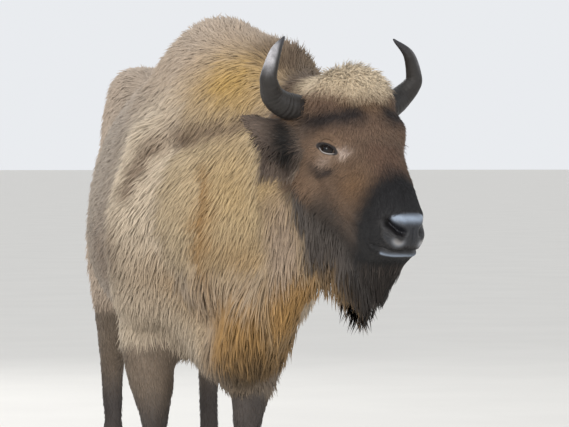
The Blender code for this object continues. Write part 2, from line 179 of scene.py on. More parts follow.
def towards(rows: Array, share: Array, aim: Array) -> Array:
    """Rows drawn towards an aim, by a share from 0 to 1."""
    return rows * (1 - share) + aim * share


def middle(node: str) -> Array:
    """The middle of a node's box."""
    low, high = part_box(node)
    return np.array((low + high) / 2)


def make_object(name: str, mesh: Mesh) -> Object:
    """An object that shows a mesh, linked into the scene.

    Args:
        name: the object's name.
        mesh: the mesh.

    Returns:
        The object.
    """
    made = bpy.data.objects.new(name, mesh)
    bpy.context.scene.collection.objects.link(made)
    return made


def placed(name: str, mesh: Mesh, material: Material, slot: str, *nodes: str) -> Object:
    """Shows a finished mesh as a piece of the model.

    Args:
        name: the piece's name.
        mesh: its mesh.
        material: its finish.
        slot: not used.
        nodes: the solids it stands for.

    Returns:
        The piece.
    """
    mesh.materials.append(material)
    made = make_object(name, mesh)
    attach(made, BODY)
    if nodes:
        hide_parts(*nodes)
    LOG.info("%s: %d points", name, len(mesh.vertices))
    return made


def mesh_of(name: str, places: Array, faces: list) -> Mesh:
    """A smooth-shaded mesh.

    Args:
        name: its name.
        places: its points.
        faces: its faces, each as the numbers of its points.

    Returns:
        The mesh.
    """
    mesh = bpy.data.meshes.new(name)
    mesh.from_pydata([tuple(place) for place in places], [], faces)
    mesh.update()
    mesh.shade_smooth()
    return mesh


def reshaped(mesh: Mesh, change: Callable) -> Mesh:
    """Changes a mesh in Blender's mesh editor.

    Args:
        mesh: the mesh.
        change: a function that is given the mesh being edited.

    Returns:
        The same mesh.
    """
    work = bmesh.new()
    work.from_mesh(mesh)
    work.verts.ensure_lookup_table()
    change(work)
    work.to_mesh(mesh)
    work.free()
    return mesh


def evaluated(made: Object) -> Mesh:
    """A new mesh with all of an object's modifiers done."""
    return bpy.data.meshes.new_from_object(made.evaluated_get(bpy.context.evaluated_depsgraph_get()))


def outward(mesh: Mesh) -> Mesh:
    """Turns a closed mesh's faces to point outwards."""
    return reshaped(mesh, lambda work: bmesh.ops.recalc_face_normals(work, faces=work.faces))


def joined(name: str, meshes: list) -> Mesh:
    """Several meshes as one, with the first one's attributes kept.

    Args:
        name: the new mesh's name.
        meshes: the meshes.

    Returns:
        The new mesh.
    """
    work = bmesh.new()
    for mesh in meshes:
        work.from_mesh(mesh)
    whole = bpy.data.meshes.new(name)
    work.to_mesh(whole)
    work.free()
    return whole


def ring_faces(count: int, sides: int) -> list:
    """The faces between rings of points that are numbered ring after ring.

    Args:
        count: how many rings there are.
        sides: how many points each of them has.

    Returns:
        The faces.
    """
    faces = []
    for start in range(0, (count - 1) * sides, sides):
        for i in range(sides):
            j = (i + 1) % sides
            faces.append((start + i, start + j, start + sides + j, start + sides + i))
    return faces


def numbers(items: object, name: str, width: int) -> Array:
    """A property of every item of a Blender collection, as rows of that width.

    Args:
        items: the collection.
        name: the property.
        width: how many numbers it has.

    Returns:
        The rows.
    """
    held = np.empty(len(items) * width, np.float32)
    items.foreach_get(name, held)
    return held.reshape(-1, width).astype(float)


def store(mesh: Mesh, name: str, rows: Array) -> None:
    """Stores a number, a vector or a colour for each of a mesh's points.

    Args:
        mesh: the mesh.
        name: the attribute's name.
        rows: a list of numbers, or rows of three or four of them.
    """
    rows = np.asarray(rows, np.float32)
    kind, key = KINDS[1 if rows.ndim == 1 else rows.shape[1]]
    mesh.attributes.new(name, kind, "POINT").data.foreach_set(key, rows.ravel())


def stored(mesh: Mesh, name: str) -> Array:
    """What store has put on a mesh's points.

    Args:
        mesh: the mesh.
        name: the attribute's name.

    Returns:
        A number or a row for each point.
    """
    source = mesh.attributes[name]
    for width, (kind, key) in KINDS.items():
        if kind == source.data_type:
            rows = numbers(source.data, key, width)
            return rows[:, 0] if width == 1 else rows
    raise KeyError(name)


# Where things lie on the animal


def fold(place: Array) -> Array:
    """Places of the head with both its sides laid on one."""
    return np.column_stack((place[:, :2], np.abs(place[:, 2])))


@dataclass(frozen=True)
class HeadFrame:
    """The head's own axes: down the face, out from it, and to its left, from the poll."""

    poll: Array
    down: Array
    out: Array
    left: Array
    facing: Array

    FACE_SLOPE = math.radians(61)
    EYE_DOWN = 0.17
    EYE_OUT = -0.08

    @classmethod
    def from_eyes(cls) -> "HeadFrame":
        """Finds the axes from the two eyes of the solids.

        Returns:
            The frame.
        """
        right, left = middle("eye_right"), middle("eye_left")
        across = unit(left - right)
        facing = np.array((across[1], -across[0], 0.0))
        down = facing * math.cos(cls.FACE_SLOPE) - UP * math.sin(cls.FACE_SLOPE)
        out = facing * math.sin(cls.FACE_SLOPE) + UP * math.cos(cls.FACE_SLOPE)
        poll = (left + right) / 2 - cls.EYE_DOWN * down - cls.EYE_OUT * out
        return cls(poll, down, out, across, facing)

    def place(self, down: float, out: float, left: float = 0.0) -> Array:
        """A place in the head as a point of the model."""
        return self.poll + down * self.down + out * self.out + left * self.left

    def read(self, points: Array) -> Array:
        """Points of the model as rows of down, out and left."""
        return (points - self.poll) @ np.array((self.down, self.out, self.left)).T


@dataclass(frozen=True)
class Trunk:
    """The trunk's own measures: its middle plane, which bends to the head along the neck."""

    middle_x: float
    neck_root_y: float
    poll_x: float
    poll_y: float

    NECK_START = 0.13

    @classmethod
    def from_solids(cls, head: HeadFrame) -> "Trunk":
        """Finds the middle plane from the rump's box and the neck's bend from the head."""
        return cls(middle("rump")[0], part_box("shoulders")[0][1] + cls.NECK_START, head.poll[0], head.poll[1])

    def sideways(self, points: Array) -> Array:
        """How far each point lies to the left of the middle plane."""
        share = np.clip((self.neck_root_y - points[:, 1]) / (self.neck_root_y - self.poll_y), 0, 1)
        return points[:, 0] - self.middle_x - (self.poll_x - self.middle_x) * share**1.2

    def folded(self, points: Array) -> Array:
        """Points with both flanks laid on one: distance from the middle, y and z."""
        return np.column_stack((np.abs(self.sideways(points)), points[:, 1:]))


# Colours


class Tint(Enum):
    """The animal's colours, as the eye sees them."""

    HUMP = (182, 163, 143)
    HUMP_GOLD = (180, 147, 84)
    RUMP = (184, 166, 148)
    FLANK = (162, 149, 135)
    BELLY = (112, 92, 74)
    BAND = (112, 94, 78)
    NECK_GOLD = (184, 158, 116)
    NECK = (178, 160, 132)
    SHOULDER = (204, 188, 166)
    CREASE = (146, 110, 64)
    CREST = (78, 62, 48)
    CHEST = (160, 144, 126)
    RUST = (154, 120, 74)
    THROAT_DARK = (66, 58, 48)
    LEG = (68, 62, 59)
    LEG_UPPER = (116, 102, 88)
    WOOL = (226, 206, 176)
    WOOL_LOW = (116, 91, 68)
    BROW = (40, 34, 33)
    FOREHEAD = (112, 90, 74)
    EYE_RING = (130, 105, 84)
    UNDER_EYE = (184, 166, 154)
    NOSE_BRIDGE = (98, 76, 62)
    CHEEK = (96, 78, 64)
    CHEEK_RUST = (112, 86, 62)
    CHEEK_LOW = (58, 52, 48)
    MUZZLE = (24, 23, 25)
    CHIN = (24, 23, 23)
    THROAT = (144, 126, 108)
    JAW = (74, 68, 64)
    BEARD = (38, 33, 30)
    BEARD_RUST = (112, 90, 62)
    EAR = (82, 70, 62)
    EAR_EDGE = (104, 90, 80)
    # Painted shade: the near-black hollow in the ear and between ear and neck.
    EAR_INSIDE = (10, 9, 9)
    TAIL = (92, 74, 58)
    SWITCH = (40, 34, 30)
    NOSE_PAD = (26, 28, 33)
    # Pale skin of the lips, and the painted highlight on the wet nose's top and under the nostril.
    NOSE_PALE = (136, 148, 164)
    LID = (38, 33, 32)
    LID_PALE = (158, 152, 148)
    # Painted shade deep in the nostrils and along the mouth.
    NOSTRIL = (20, 18, 19)
    HORN = (40, 37, 35)
    # Worn horn, and the painted sheen of light on the near horn's outer side.
    HORN_PALE = (176, 174, 178)
    HORN_ROOT = (42, 35, 32)
    HORN_TIP = (48, 47, 51)
    HOOF = (52, 47, 43)
    HOOF_PALE = (96, 86, 74)
    EYE_BROWN = (24, 16, 12)
    EYE_WHITE = (98, 86, 78)
    PUPIL = (6, 7, 10)
    FLOOR = (226, 223, 217)

    @property
    def linear(self) -> Array:
        """The colour as the renderer takes it."""
        share = np.array(self.value) / 255
        return np.where(share < 0.04045, share / 12.92, ((share + 0.055) / 1.055) ** 2.4)

    @property
    def socket(self) -> tuple:
        """The colour for a node's socket."""
        return (*self.linear, 1.0)


@dataclass
class Markings:
    """What colour the skin and the coat have at each place, painted shade behind the elbow, on the flank, on
    the legs' inner faces and in the ears' hollows included.
    """

    head: HeadFrame
    trunk: Trunk

    BAND = [(0.152, -0.80, 1.295), (0.183, -0.755, 1.27), (0.201, -0.69, 1.24), (0.21, -0.60, 1.218),
            (0.231, -0.52, 1.192), (0.273, -0.493, 1.158), (0.309, -0.455, 1.124), (0.331, -0.428, 1.06)]
    BROW = [(0.072, -0.080, 0.142), (0.086, -0.035, 0.128), (0.098, -0.005, 0.095), (0.100, 0.010, 0.055)]
    EYE_BAG = [(0.185, -0.145, 0.13), (0.218, -0.125, 0.118), (0.221, -0.095, 0.11)]
    EAR_HOLLOW = [(0.075, -0.150, 0.182), (0.135, -0.155, 0.190)]
    CREASE = [(0.226, -0.629, 1.094), (0.2555, -0.667, 1.011), (0.2615, -0.663, 0.928),
              (0.243, -0.612, 0.838)]
    JAW = ((0.16, -0.22), (0.275, -0.280), (0.356, -0.335), (0.397, -0.350), (0.43, -0.385), (0.60, -0.50))

    def coat(self, points: Array, share: dict) -> Array:
        """The coat's colour.

        Args:
            points: the places.
            share: how much each place belongs to each of the solids, by name.

        Returns:
            A colour for each place.
        """
        self.points, self.share = points, share
        self.colours = np.tile(Tint.FLANK.linear, (len(points), 1))
        self.trunk_coat()
        self.leg_coat()
        self.beard_coat()
        self.head_coat()
        return self.colours

    def lay(self, tint: Tint, mask: Array) -> None:
        """Lays a colour over the rest, as strongly as the mask says."""
        self.colours = towards(self.colours, np.clip(mask, 0.0, 1.0)[:, None], tint.linear)

    def trunk_coat(self) -> None:
        """Pale hump and rump, golden neck, the darker band between them and the belly, and painted shade
        behind the elbow and on the flank behind the shoulder.
        """
        share = self.share
        points = self.points + wobble(self.points, 0.09, 0.010)
        side = self.trunk.folded(points)
        height = points[:, 2]
        self.lay(Tint.RUMP, ease(0.42, 0.74, points[:, 1]))
        self.lay(Tint.SHOULDER, share["shoulders"] * ease(0.08, -0.26, points[:, 1]))
        self.lay(Tint.NECK, share["neck"])
        self.lay(Tint.HUMP, ease(1.20, 1.42, height) * ease(0.62, 0.30, points[:, 1]))
        self.lay(Tint.HUMP_GOLD, 0.95 * spot(side, (0.135, -0.68, 1.36), (0.075, 0.15, 0.085)))
        crest = ease(0.12, 0.05, side[:, 0]) * spot(points, (0.09, -0.76, 1.39), (0.3, 0.13, 0.08))
        self.lay(Tint.CREST, 0.95 * crest)
        self.lay(Tint.BELLY, 0.8 * ease(0.74, 0.56, height) * (share["barrel"] + share["rump"]))
        self.lay(Tint.CHEST, 0.7 * spot(side, (0.27, -0.48, 0.80), (0.12, 0.14, 0.16)))
        self.lay(Tint.NECK_GOLD, 0.85 * spot(side, (0.18, -0.74, 1.07), (0.14, 0.13, 0.15)))
        self.lay(Tint.BAND, 0.9 * stroke(side, self.BAND, 0.031))
        # Painted shade behind the elbow, in the band's colour.
        self.lay(Tint.BAND, 0.8 * spot(side, (0.34, -0.34, 0.89), (0.08, 0.08, 0.12)))
        self.lay(Tint.BAND, 0.45 * spot(side, (0.180, -0.50, 1.225), (0.07, 0.09, 0.05)))
        self.lay(Tint.BELLY, 0.3 * spot(side, (0.20, -0.33, 0.67), (0.12, 0.12, 0.10)))
        # Painted shade on the flank behind the shoulder, in the belly's colour.
        self.lay(Tint.BELLY, 0.55 * spot(side, (0.31, 0.12, 0.84), (0.08, 0.24, 0.13)))
        self.lay(Tint.CREASE, 0.8 * stroke(side, self.CREASE, 0.027))
        forward = 0.35 + 0.65 * ease(-0.50, -0.64, points[:, 1])
        self.lay(Tint.RUST, share["brisket"] * forward * ease(0.88, 0.72, height))
        armpit = share["shoulders"] * ease(-0.38, -0.56, points[:, 1])
        self.lay(Tint.RUST, 0.6 * armpit * ease(0.92, 0.80, height))
        throat = share["neck"] * ease(-0.60, -0.72, points[:, 1])
        self.lay(Tint.RUST, 0.55 * throat * ease(0.98, 0.86, height))
        front = 0.05 * ease(-0.60, -0.74, points[:, 1])
        self.lay(Tint.THROAT_DARK, 0.85 * share["brisket"] * ease(0.70 + front, 0.54 + front, height))
        self.lay(Tint.TAIL, share["tail"])
        self.lay(Tint.SWITCH, share["tail_switch"])

    def leg_coat(self) -> None:
        """Legs that darken downwards, with painted shade on their inner faces under the chest."""
        height = self.points[:, 2]
        legs = sum(amount for name, amount in self.share.items() if name.startswith("leg"))
        upper = (self.share["shoulders"] + self.share["rump"]) * ease(0.64, 0.52, height)
        self.lay(Tint.LEG_UPPER, np.maximum(upper, legs))
        self.lay(Tint.LEG, legs * ease(0.52, 0.34, height))
        # Painted shade on the legs' inner faces, under the chest.
        inner = ease(0.12, 0.05, np.abs(self.trunk.sideways(self.points)))
        self.lay(Tint.LEG, 0.8 * legs * inner * ease(0.66, 0.54, height))

    def head_coat(self) -> None:
        """Pale wool on the poll, dark brow, buff round the eyes, a black-brown muzzle, and painted shade in
        the ears' hollows.
        """
        points, share = self.points, self.share
        place = self.head.read(points + wobble(points, 0.045, 0.004) + wobble(points, 0.017, 0.0025))
        folded = fold(place)
        down, out, aside = folded.T
        face = share["head"] * ease(0.022, -0.012, self.beyond_jaw(place))
        face = face * ease(0.02, 0.0, Skin.below_chin(place))
        deep = out + 0.8 * np.clip(0.27 - down, 0, 0.08)
        self.lay(Tint.CHEEK, face * ease(-0.21, -0.16, deep))
        self.lay(Tint.FOREHEAD, face * ease(-0.10, -0.04, out) * ease(0.20, 0.14, down))
        bridge = face * ease(0.17, 0.21, down) * ease(0.08, 0.03, aside)
        self.lay(Tint.NOSE_BRIDGE, bridge * ease(-0.06, -0.02, out))
        self.lay(Tint.CHEEK_RUST, 0.8 * face * spot(folded, (0.29, -0.05, 0.08), (0.055, 0.05, 0.05)))
        self.lay(Tint.CHEEK_LOW, 0.85 * face * ease(-0.11, -0.19, deep) * ease(0.22, 0.28, down))
        self.lay(Tint.EYE_RING, 0.55 * face * spot(folded, (0.220, -0.175, 0.150), (0.05, 0.04, 0.05)))
        self.lay(Tint.EYE_RING, 0.95 * face * spot(folded, (0.172, -0.075, 0.12), (0.042, 0.05, 0.05)))
        self.lay(Tint.UNDER_EYE, 0.35 * face * spot(folded, (0.196, -0.100, 0.122), (0.020, 0.022, 0.04)))
        self.lay(Tint.UNDER_EYE, face * spot(folded, (0.196, -0.040, 0.104), (0.013, 0.015, 0.03)))
        self.lay(Tint.BROW, 0.9 * face * stroke(folded, self.EYE_BAG, 0.013))
        self.lay(Tint.MUZZLE, face * ease(0.24, 0.33, down + 0.7 * (out + 0.02) - 0.35 * aside))
        self.lay(Tint.CHIN, 0.8 * face * ease(0.44, 0.49, down) * ease(-0.07, -0.10, out))
        sagging = down - 0.25 * (out + 0.03) + 0.65 * np.maximum(aside - 0.05, 0)
        wool = ease(0.070, 0.000, sagging) * ease(-0.17, -0.11, out)
        below_wool = 0.8 * face * ease(0.120, 0.075, down) * ease(-0.12, -0.06, out)
        self.lay(Tint.WOOL_LOW, below_wool * ease(0.10, 0.05, aside))
        self.lay(Tint.BROW, face * stroke(folded, self.BROW, 0.036))
        self.lay(Tint.WOOL, np.maximum(face, 0.3 * share["neck"]) * wool)
        behind_horn = spot(folded, (0.0, -0.135, 0.120), (0.055, 0.055, 0.060))
        self.lay(Tint.WOOL_LOW, 0.75 * np.clip(face + share["neck"], 0, 1) * behind_horn)
        self.lay(Tint.EAR_EDGE, 0.8 * face * spot(folded, (0.088, -0.105, 0.165), (0.018, 0.025, 0.03)))
        ears = (share["ear_left"] + share["ear_right"]) * ease(0.190, 0.165, down)
        self.lay(Tint.EAR, ears)
        self.lay(Tint.EAR_EDGE, 0.85 * ears * spot(folded, (0.035, -0.190, 0.240), (0.045, 0.045, 0.032)))
        self.lay(Tint.EAR_EDGE, 0.9 * ears * spot(folded, (0.120, -0.237, 0.172), (0.045, 0.030, 0.035)))
        # Painted shade in the ear's hollow, reaching onto face, beard and neck.
        near_ear = np.clip(ears + face + share["beard"] + share["neck"], 0, 1)
        self.lay(Tint.EAR_INSIDE, near_ear * stroke(folded, self.EAR_HOLLOW, 0.036))

    def beyond_jaw(self, place: Array) -> Array:
        """How far each place of the head lies behind the jaw's line, towards the neck."""
        down, out = np.array(self.JAW).T
        return np.interp(place[:, 0], down, out) - place[:, 1]

    def beard_coat(self) -> None:
        """Slate jaw, black-brown beard with a rusty hind edge, and the neck's gold behind the jaw's line."""
        share = self.share
        place = self.head.read(self.points + wobble(self.points, 0.06, 0.008))
        down, out = place[:, 0], place[:, 1]
        beard = share["beard"]
        head = share["head"] + beard
        low = np.maximum(beard, share["head"] * ease(0.0, 0.02, Skin.below_chin(place)))
        self.lay(Tint.JAW, head)
        self.lay(Tint.JAW, 0.9 * share["head"] * ease(0.16, 0.22, down) * ease(-0.16, -0.21, out))
        self.lay(Tint.BEARD, low * ease(0.40, 0.46, down - 0.2 * (out + 0.2)))
        self.lay(Tint.BEARD_RUST, 0.95 * low * ease(-0.24, -0.31, out) * ease(0.34, 0.40, down))
        behind = head * ease(-0.012, 0.022, self.beyond_jaw(place))
        self.lay(Tint.NECK_GOLD, behind)
        self.lay(Tint.THROAT, behind * ease(0.13, 0.24, down))
        self.lay(Tint.RUST, behind * ease(0.33, 0.40, down))


# The skin


@dataclass(frozen=True)
class Zone:
    """How the coat grows on one part of the body.

    Depth is how far the skin lies below the tips. Reach and girth are a tuft's length and width,
    lift how many degrees it rises at its root, and lie the way the hair points.
    """

    depth: float
    reach: float
    girth: float
    lift: float
    lie: tuple


ZONES = {
    "shoulders": Zone(0.024, 0.058, 0.0031, 19, (0.0, 0.62, -0.80)),
    "barrel": Zone(0.017, 0.046, 0.0034, 17, (0.0, 1.00, -0.50)),
    "rump": Zone(0.015, 0.040, 0.0036, 17, (0.0, 0.75, -0.75)),
    "neck": Zone(0.024, 0.058, 0.0026, 18, (-0.10, 0.55, -0.85)),
    "brisket": Zone(0.030, 0.115, 0.0038, 13, (0.0, 0.12, -1.00)),
    "beard": Zone(0.024, 0.076, 0.0035, 11, (-0.03, 0.12, -1.00)),
    "head": Zone(0.007, 0.019, 0.0024, 15, (0.0, 0.0, -1.0)),
    "ear": Zone(0.004, 0.036, 0.0028, 16, (0.0, 0.0, -1.0)),
    "leg": Zone(0.009, 0.018, 0.0034, 11, (0.0, 0.18, -1.00)),
    "tail": Zone(0.012, 0.032, 0.0040, 12, (0.0, 0.10, -1.00)),
    "tail_switch": Zone(0.022, 0.110, 0.0055, 10, (0.0, 0.05, -1.00)),
}


def zone_of(node: str) -> Zone:
    """The zone of a solid, by its name or the first word of its name."""
    return ZONES.get(node) or ZONES[node.split("_")[0]]


class Surface:
    """A mesh's points and edges as arrays, to move or smooth them all at once."""

    def __init__(self, mesh: Mesh) -> None:
        """Reads the mesh.

        Args:
            mesh: the mesh.
        """
        self.mesh = mesh
        self.places = numbers(mesh.vertices, "co", 3)
        ends = np.empty(len(mesh.edges) * 2, np.int32)
        mesh.edges.foreach_get("vertices", ends)
        self.starts, self.stops = ends.reshape(-1, 2).T
        self.links = np.maximum(np.bincount(ends, minlength=len(self.places)), 1)

    def normals(self) -> Array:
        """Writes the points to the mesh and reads how each faces."""
        self.write()
        return numbers(self.mesh.vertex_normals, "vector", 3)

    def write(self) -> None:
        """Writes the points to the mesh."""
        self.mesh.vertices.foreach_set("co", self.places.astype(np.float32).ravel())
        self.mesh.update()

    def push(self, amount: Array) -> None:
        """Moves each point by its amount the way it faces, or inwards where that is negative."""
        self.places = self.places + self.normals() * amount[:, None]

    def settle(self, times: int, share: float | Array = 0.5) -> None:
        """Smooths the surface itself, as relaxed smooths values on it."""
        self.places = self.relaxed(self.places, times, share)

    def relaxed(self, values: Array, times: int, share: float | Array = 0.5) -> Array:
        """Values at the points, smoothed over the surface.

        Args:
            values: a number or a row for each point.
            times: how often each is drawn towards the average of its neighbours.
            share: how far it is drawn each time, for all points or for each.

        Returns:
            The smoothed values.
        """
        rows = values.reshape(len(values), -1).copy()
        count = len(rows)
        if isinstance(share, Array):
            share = share[:, None]
        for _ in range(times):
            total = np.column_stack([
                np.bincount(self.starts, column[self.stops], count)
                + np.bincount(self.stops, column[self.starts], count)
                for column in rows.T
            ])
            rows += share * (total / self.links[:, None] - rows)
        return rows.reshape(values.shape)


@dataclass
class Eye:
    """One eyeball, and the frame of its slit: towards the nose, up, and outwards."""

    side: int
    head: HeadFrame

    RADIUS = 0.0212
    SINK = 0.0050
    SLIT_LONG = 0.0252
    SLIT_UP = 0.0108
    SLIT_DOWN = 0.0088
    BALL_EDGE = 0.0185

    def __post_init__(self) -> None:
        """Works out the frame from the solid eye and the head's axes."""
        head = self.head
        self.node = "eye_right" if self.side < 0 else "eye_left"
        self.outward = unit(0.12 * head.down + 0.42 * head.out + 0.90 * self.side * head.left)
        ahead = 0.96 * head.facing - 0.26 * UP
        self.nosewards = unit(ahead - (ahead @ self.outward) * self.outward)
        over = np.cross(self.outward, self.nosewards)
        self.above = over if over[2] > 0 else -over
        self.centre = middle(self.node) - self.SINK * self.outward

    def read(self, points: Array) -> Array:
        """Points as rows of nosewards, above and outward, from the ball's middle."""
        return (points - self.centre) @ np.array((self.nosewards, self.above, self.outward)).T

    def place(self, rows: Array) -> Array:
        """Points of the model from such rows."""
        return self.centre + rows @ np.array((self.nosewards, self.above, self.outward))

    def half_height(self, along: Array, upper: Array) -> Array:
        """Half the slit's height at a place along it, in its upper or its lower half."""
        share = np.clip(np.abs(along) / self.SLIT_LONG, 0, 1)
        return np.where(upper, self.SLIT_UP, self.SLIT_DOWN) * (1 - share**2.3)


@dataclass
class Skin:
    """The one skin under the coat, from chin to tail."""

    head: HeadFrame
    trunk: Trunk
    markings: Markings
    eyes: list
    voxel: float = 0.0158
    eye_plug: float = 0.022
    horn_plug: float = 0.042
    ear_growth: float = 1.17
    ear_slimming: float = 0.10
    lid_sides: int = 64
    sink_steps: int = 4
    share_of_room: float = 0.27
    rim_level: float = 0.0125
    pit_depth: float = 0.016

    # Places on the folded head that both the form and the bare skin follow.
    NOSTRIL = [(0.428, -0.014, 0.063), (0.445, -0.006, 0.056), (0.460, -0.002, 0.045), (0.468, 0.001, 0.034)]
    MOUTH = [(0.504, -0.043, 0.0), (0.501, -0.046, 0.020), (0.492, -0.056, 0.040), (0.477, -0.068, 0.060),
             (0.452, -0.092, 0.072)]
    LOWER_LIP = [(0.513, -0.054, 0.0), (0.509, -0.058, 0.022), (0.500, -0.068, 0.046), (0.488, -0.080, 0.062)]
    GROOVE = [(0.462, 0.010, 0.0), (0.482, 0.0, 0.0), (0.500, -0.036, 0.0)]
    # The line of the painted highlight along the nose's top.
    NOSE_HIGHLIGHT = [(0.424, 0.004, 0.048), (0.432, 0.012, 0.025), (0.434, 0.014, 0.0)]
    CHEEKBONE = [(0.21, -0.13, 0.11), (0.30, -0.12, 0.085), (0.37, -0.10, 0.07)]
    CHEEK_FURROW = [(0.30, -0.16, 0.08), (0.40, -0.135, 0.06)]

    # The dark rim's reach along, above and below the slit; the lids' gaps from the slit, and rises.
    LINER = (0.0345, 0.0160, 0.0125)
    LID_PROFILE = [(-0.0016, -0.0030), (0.0, -0.0004), (0.0004, 0.0012), (0.0020, 0.0024), (0.0044, 0.0030),
                   (0.0066, 0.0018), (0.0088, 0.0034), (0.0120, 0.0040), (0.0160, 0.0034), (0.0215, 0.0),
                   (0.0270, -0.004)]

    def build(self) -> Object:
        """Makes the skin from the solids of flesh, and stores on it all that the coat reads.

        Returns:
            The skin's object.
        """
        self.flesh = [name for name in frame["nodes"] if not name.startswith(HARD_PARTS)]
        self.gather()
        mesh = self.one_surface()
        mesh = self.split(mesh, self.near_head)
        self.sink(mesh)
        mesh = self.split(mesh, self.near_face)
        mesh = self.split(mesh, self.near_features)
        self.sculpt(mesh)
        self.body_count = len(mesh.vertices)
        mesh = joined("skin", [mesh] + [self.lids(eye) for eye in self.eyes])
        self.describe(mesh)
        self.piece = make_object("skin", mesh)
        return self.piece

    def gather(self) -> None:
        """Reads the solids, and notes which solid each triangle comes from."""
        places, faces, owners = [], [], []
        for index, name in enumerate(self.flesh):
            mesh = frame["nodes"][name].data
            start = len(places)
            places += [vert.co.copy() for vert in mesh.vertices]
            faces += [[start + corner for corner in face.vertices] for face in mesh.polygons]
            owners += [index] * len(mesh.polygons)
        self.solid_mesh = mesh_of("solids", places, faces)
        self.owner = np.array(owners)
        self.nearest = BVHTree.FromPolygons(places, faces)

    def plug(self, work: bmesh.types.BMesh) -> None:
        """Fills the sockets of the eyes, horns, hooves and dewclaws, so that the skin closes over them.

        Args:
            work: the solids of flesh, being edited.
        """
        balls = [(tuple(middle("eye_" + name)), self.eye_plug) for name in SIDES]
        for side in SIDES.values():
            balls.append((tuple(self.head.place(0.0245, -0.119, 0.110 * side)), self.horn_plug))
        for place, radius in balls:
            ball = bmesh.ops.create_icosphere(work, subdivisions=3, radius=radius)
            bmesh.ops.translate(work, verts=ball["verts"], vec=place)
        for name, node in frame["nodes"].items():
            if name.startswith(("hoof", "dewclaw")):
                work.from_mesh(node.data)
            if name.startswith("ear"):
                self.ear_blade(work, node.data)
        bmesh.ops.remove_doubles(work, verts=work.verts, dist=1e-6)

    def ear_blade(self, work: bmesh.types.BMesh, solid: Mesh) -> None:
        """Adds a larger copy of an ear, so that smoothing leaves it its size.

        Args:
            work: the solids of flesh, being edited.
            solid: the ear.
        """
        start = len(work.verts)
        work.from_mesh(solid)
        work.verts.ensure_lookup_table()
        grown = work.verts[start:]
        centre = sum((vert.co for vert in grown), Vector()) / len(grown)
        facing = Vector(self.head.facing)
        for vert in grown:
            offset = (vert.co - centre) * self.ear_growth
            vert.co = centre + offset - facing * (offset @ facing) * self.ear_slimming

    def one_surface(self) -> Mesh:
        """The solids and plugs as one closed, even surface.

        Returns:
            The surface.
        """
        made = make_object("surface", reshaped(self.solid_mesh, self.plug))
        remesh = made.modifiers.new("one surface", "REMESH")
        remesh.mode = "VOXEL"
        remesh.voxel_size = self.voxel
        mesh = evaluated(made)
        bpy.data.objects.remove(made)
        return self.outermost(mesh)

    def outermost(self, mesh: Mesh) -> Mesh:
        """Deletes any pocket inside, and keeps the largest surface.

        Args:
            mesh: the surface with its pockets.

        Returns:
            The same mesh.
        """
        surface = Surface(mesh)
        label = np.arange(len(surface.places))
        while True:
            least = label.copy()
            np.minimum.at(least, surface.starts, label[surface.stops])
            np.minimum.at(least, surface.stops, label[surface.starts])
            least = least[least]
            if (least == label).all():
                break
            label = least
        inner = np.flatnonzero(label != np.bincount(label).argmax())
        LOG.info("pockets removed: %d points", len(inner))

        def delete_inner(work: bmesh.types.BMesh) -> None:
            """Deletes the pockets' points."""
            bmesh.ops.delete(work, geom=[work.verts[i] for i in inner], context="VERTS")

        surface = Surface(reshaped(mesh, delete_inner))
        surface.settle(5)
        surface.write()
        return mesh

    def shares(self, points: Array, surface: Surface, times: int) -> dict:
        """How much each point belongs to each solid, with soft borders.

        Args:
            points: the points of the surface.
            surface: the surface.
            times: how often the borders are smoothed.

        Returns:
            For each solid, by name, a number for each point.
        """
        owners = np.array([self.owner[self.nearest.find_nearest(Vector(place))[2]] for place in points])
        owned = (owners[:, None] == np.arange(len(self.flesh))).astype(float)
        owned = surface.relaxed(owned, times)
        return dict(zip(self.flesh, owned.T))

    def blended(self, share: dict, name: str) -> Array:
        """A number of the coat's zones, blended over the points."""
        return sum(amount * getattr(zone_of(node), name) for node, amount in share.items())

    def split(self, mesh: Mesh, chosen: Callable) -> Mesh:
        """Halves the edges in part of the skin, and softens that part.

        Args:
            mesh: the skin so far.
            chosen: the method that picks the part by its points.

        Returns:
            The same mesh.
        """
        picked = chosen(Surface(mesh).places)

        def halve(work: bmesh.types.BMesh) -> None:
            """Halves the edges between picked points."""
            edges = [edge for edge in work.edges if all(picked[vert.index] for vert in edge.verts)]
            bmesh.ops.subdivide_edges(work, edges=edges, cuts=1, use_grid_fill=True)

        surface = Surface(reshaped(mesh, halve))
        fine = chosen(surface.places).astype(float)
        surface.settle(3, 0.5 * fine)
        surface.write()
        return mesh

    def near_head(self, points: Array) -> Array:
        """Which points lie on the head."""
        down, out, aside = fold(self.head.read(points)).T
        return (out > -0.26) & (down > -0.10) & (aside < 0.30)

    def near_face(self, points: Array) -> Array:
        """Which points lie on the face or on an ear.

        Args:
            points: the points.

        Returns:
            True for those that do.
        """
        down, out, aside = fold(self.head.read(points)).T
        muzzle = (down > 0.36) & (out > -0.15) & (aside < 0.12)
        eye = (np.abs(down - 0.17) < 0.075) & (np.abs(out + 0.08) < 0.075) & (aside > 0.06)
        return muzzle | eye | ((aside > 0.145) & (down > 0.0) & (down < 0.24))

    def near_features(self, points: Array) -> Array:
        """Which points lie round the nostrils, the mouth or the eyes.

        Args:
            points: the points.

        Returns:
            True for those that do.
        """
        down, out, aside = fold(self.head.read(points)).T
        near = (down > 0.405) & (out > -0.115) & (aside < 0.10)
        for eye in self.eyes:
            near |= np.linalg.norm(points - eye.centre, axis=1) < 0.045
        return near

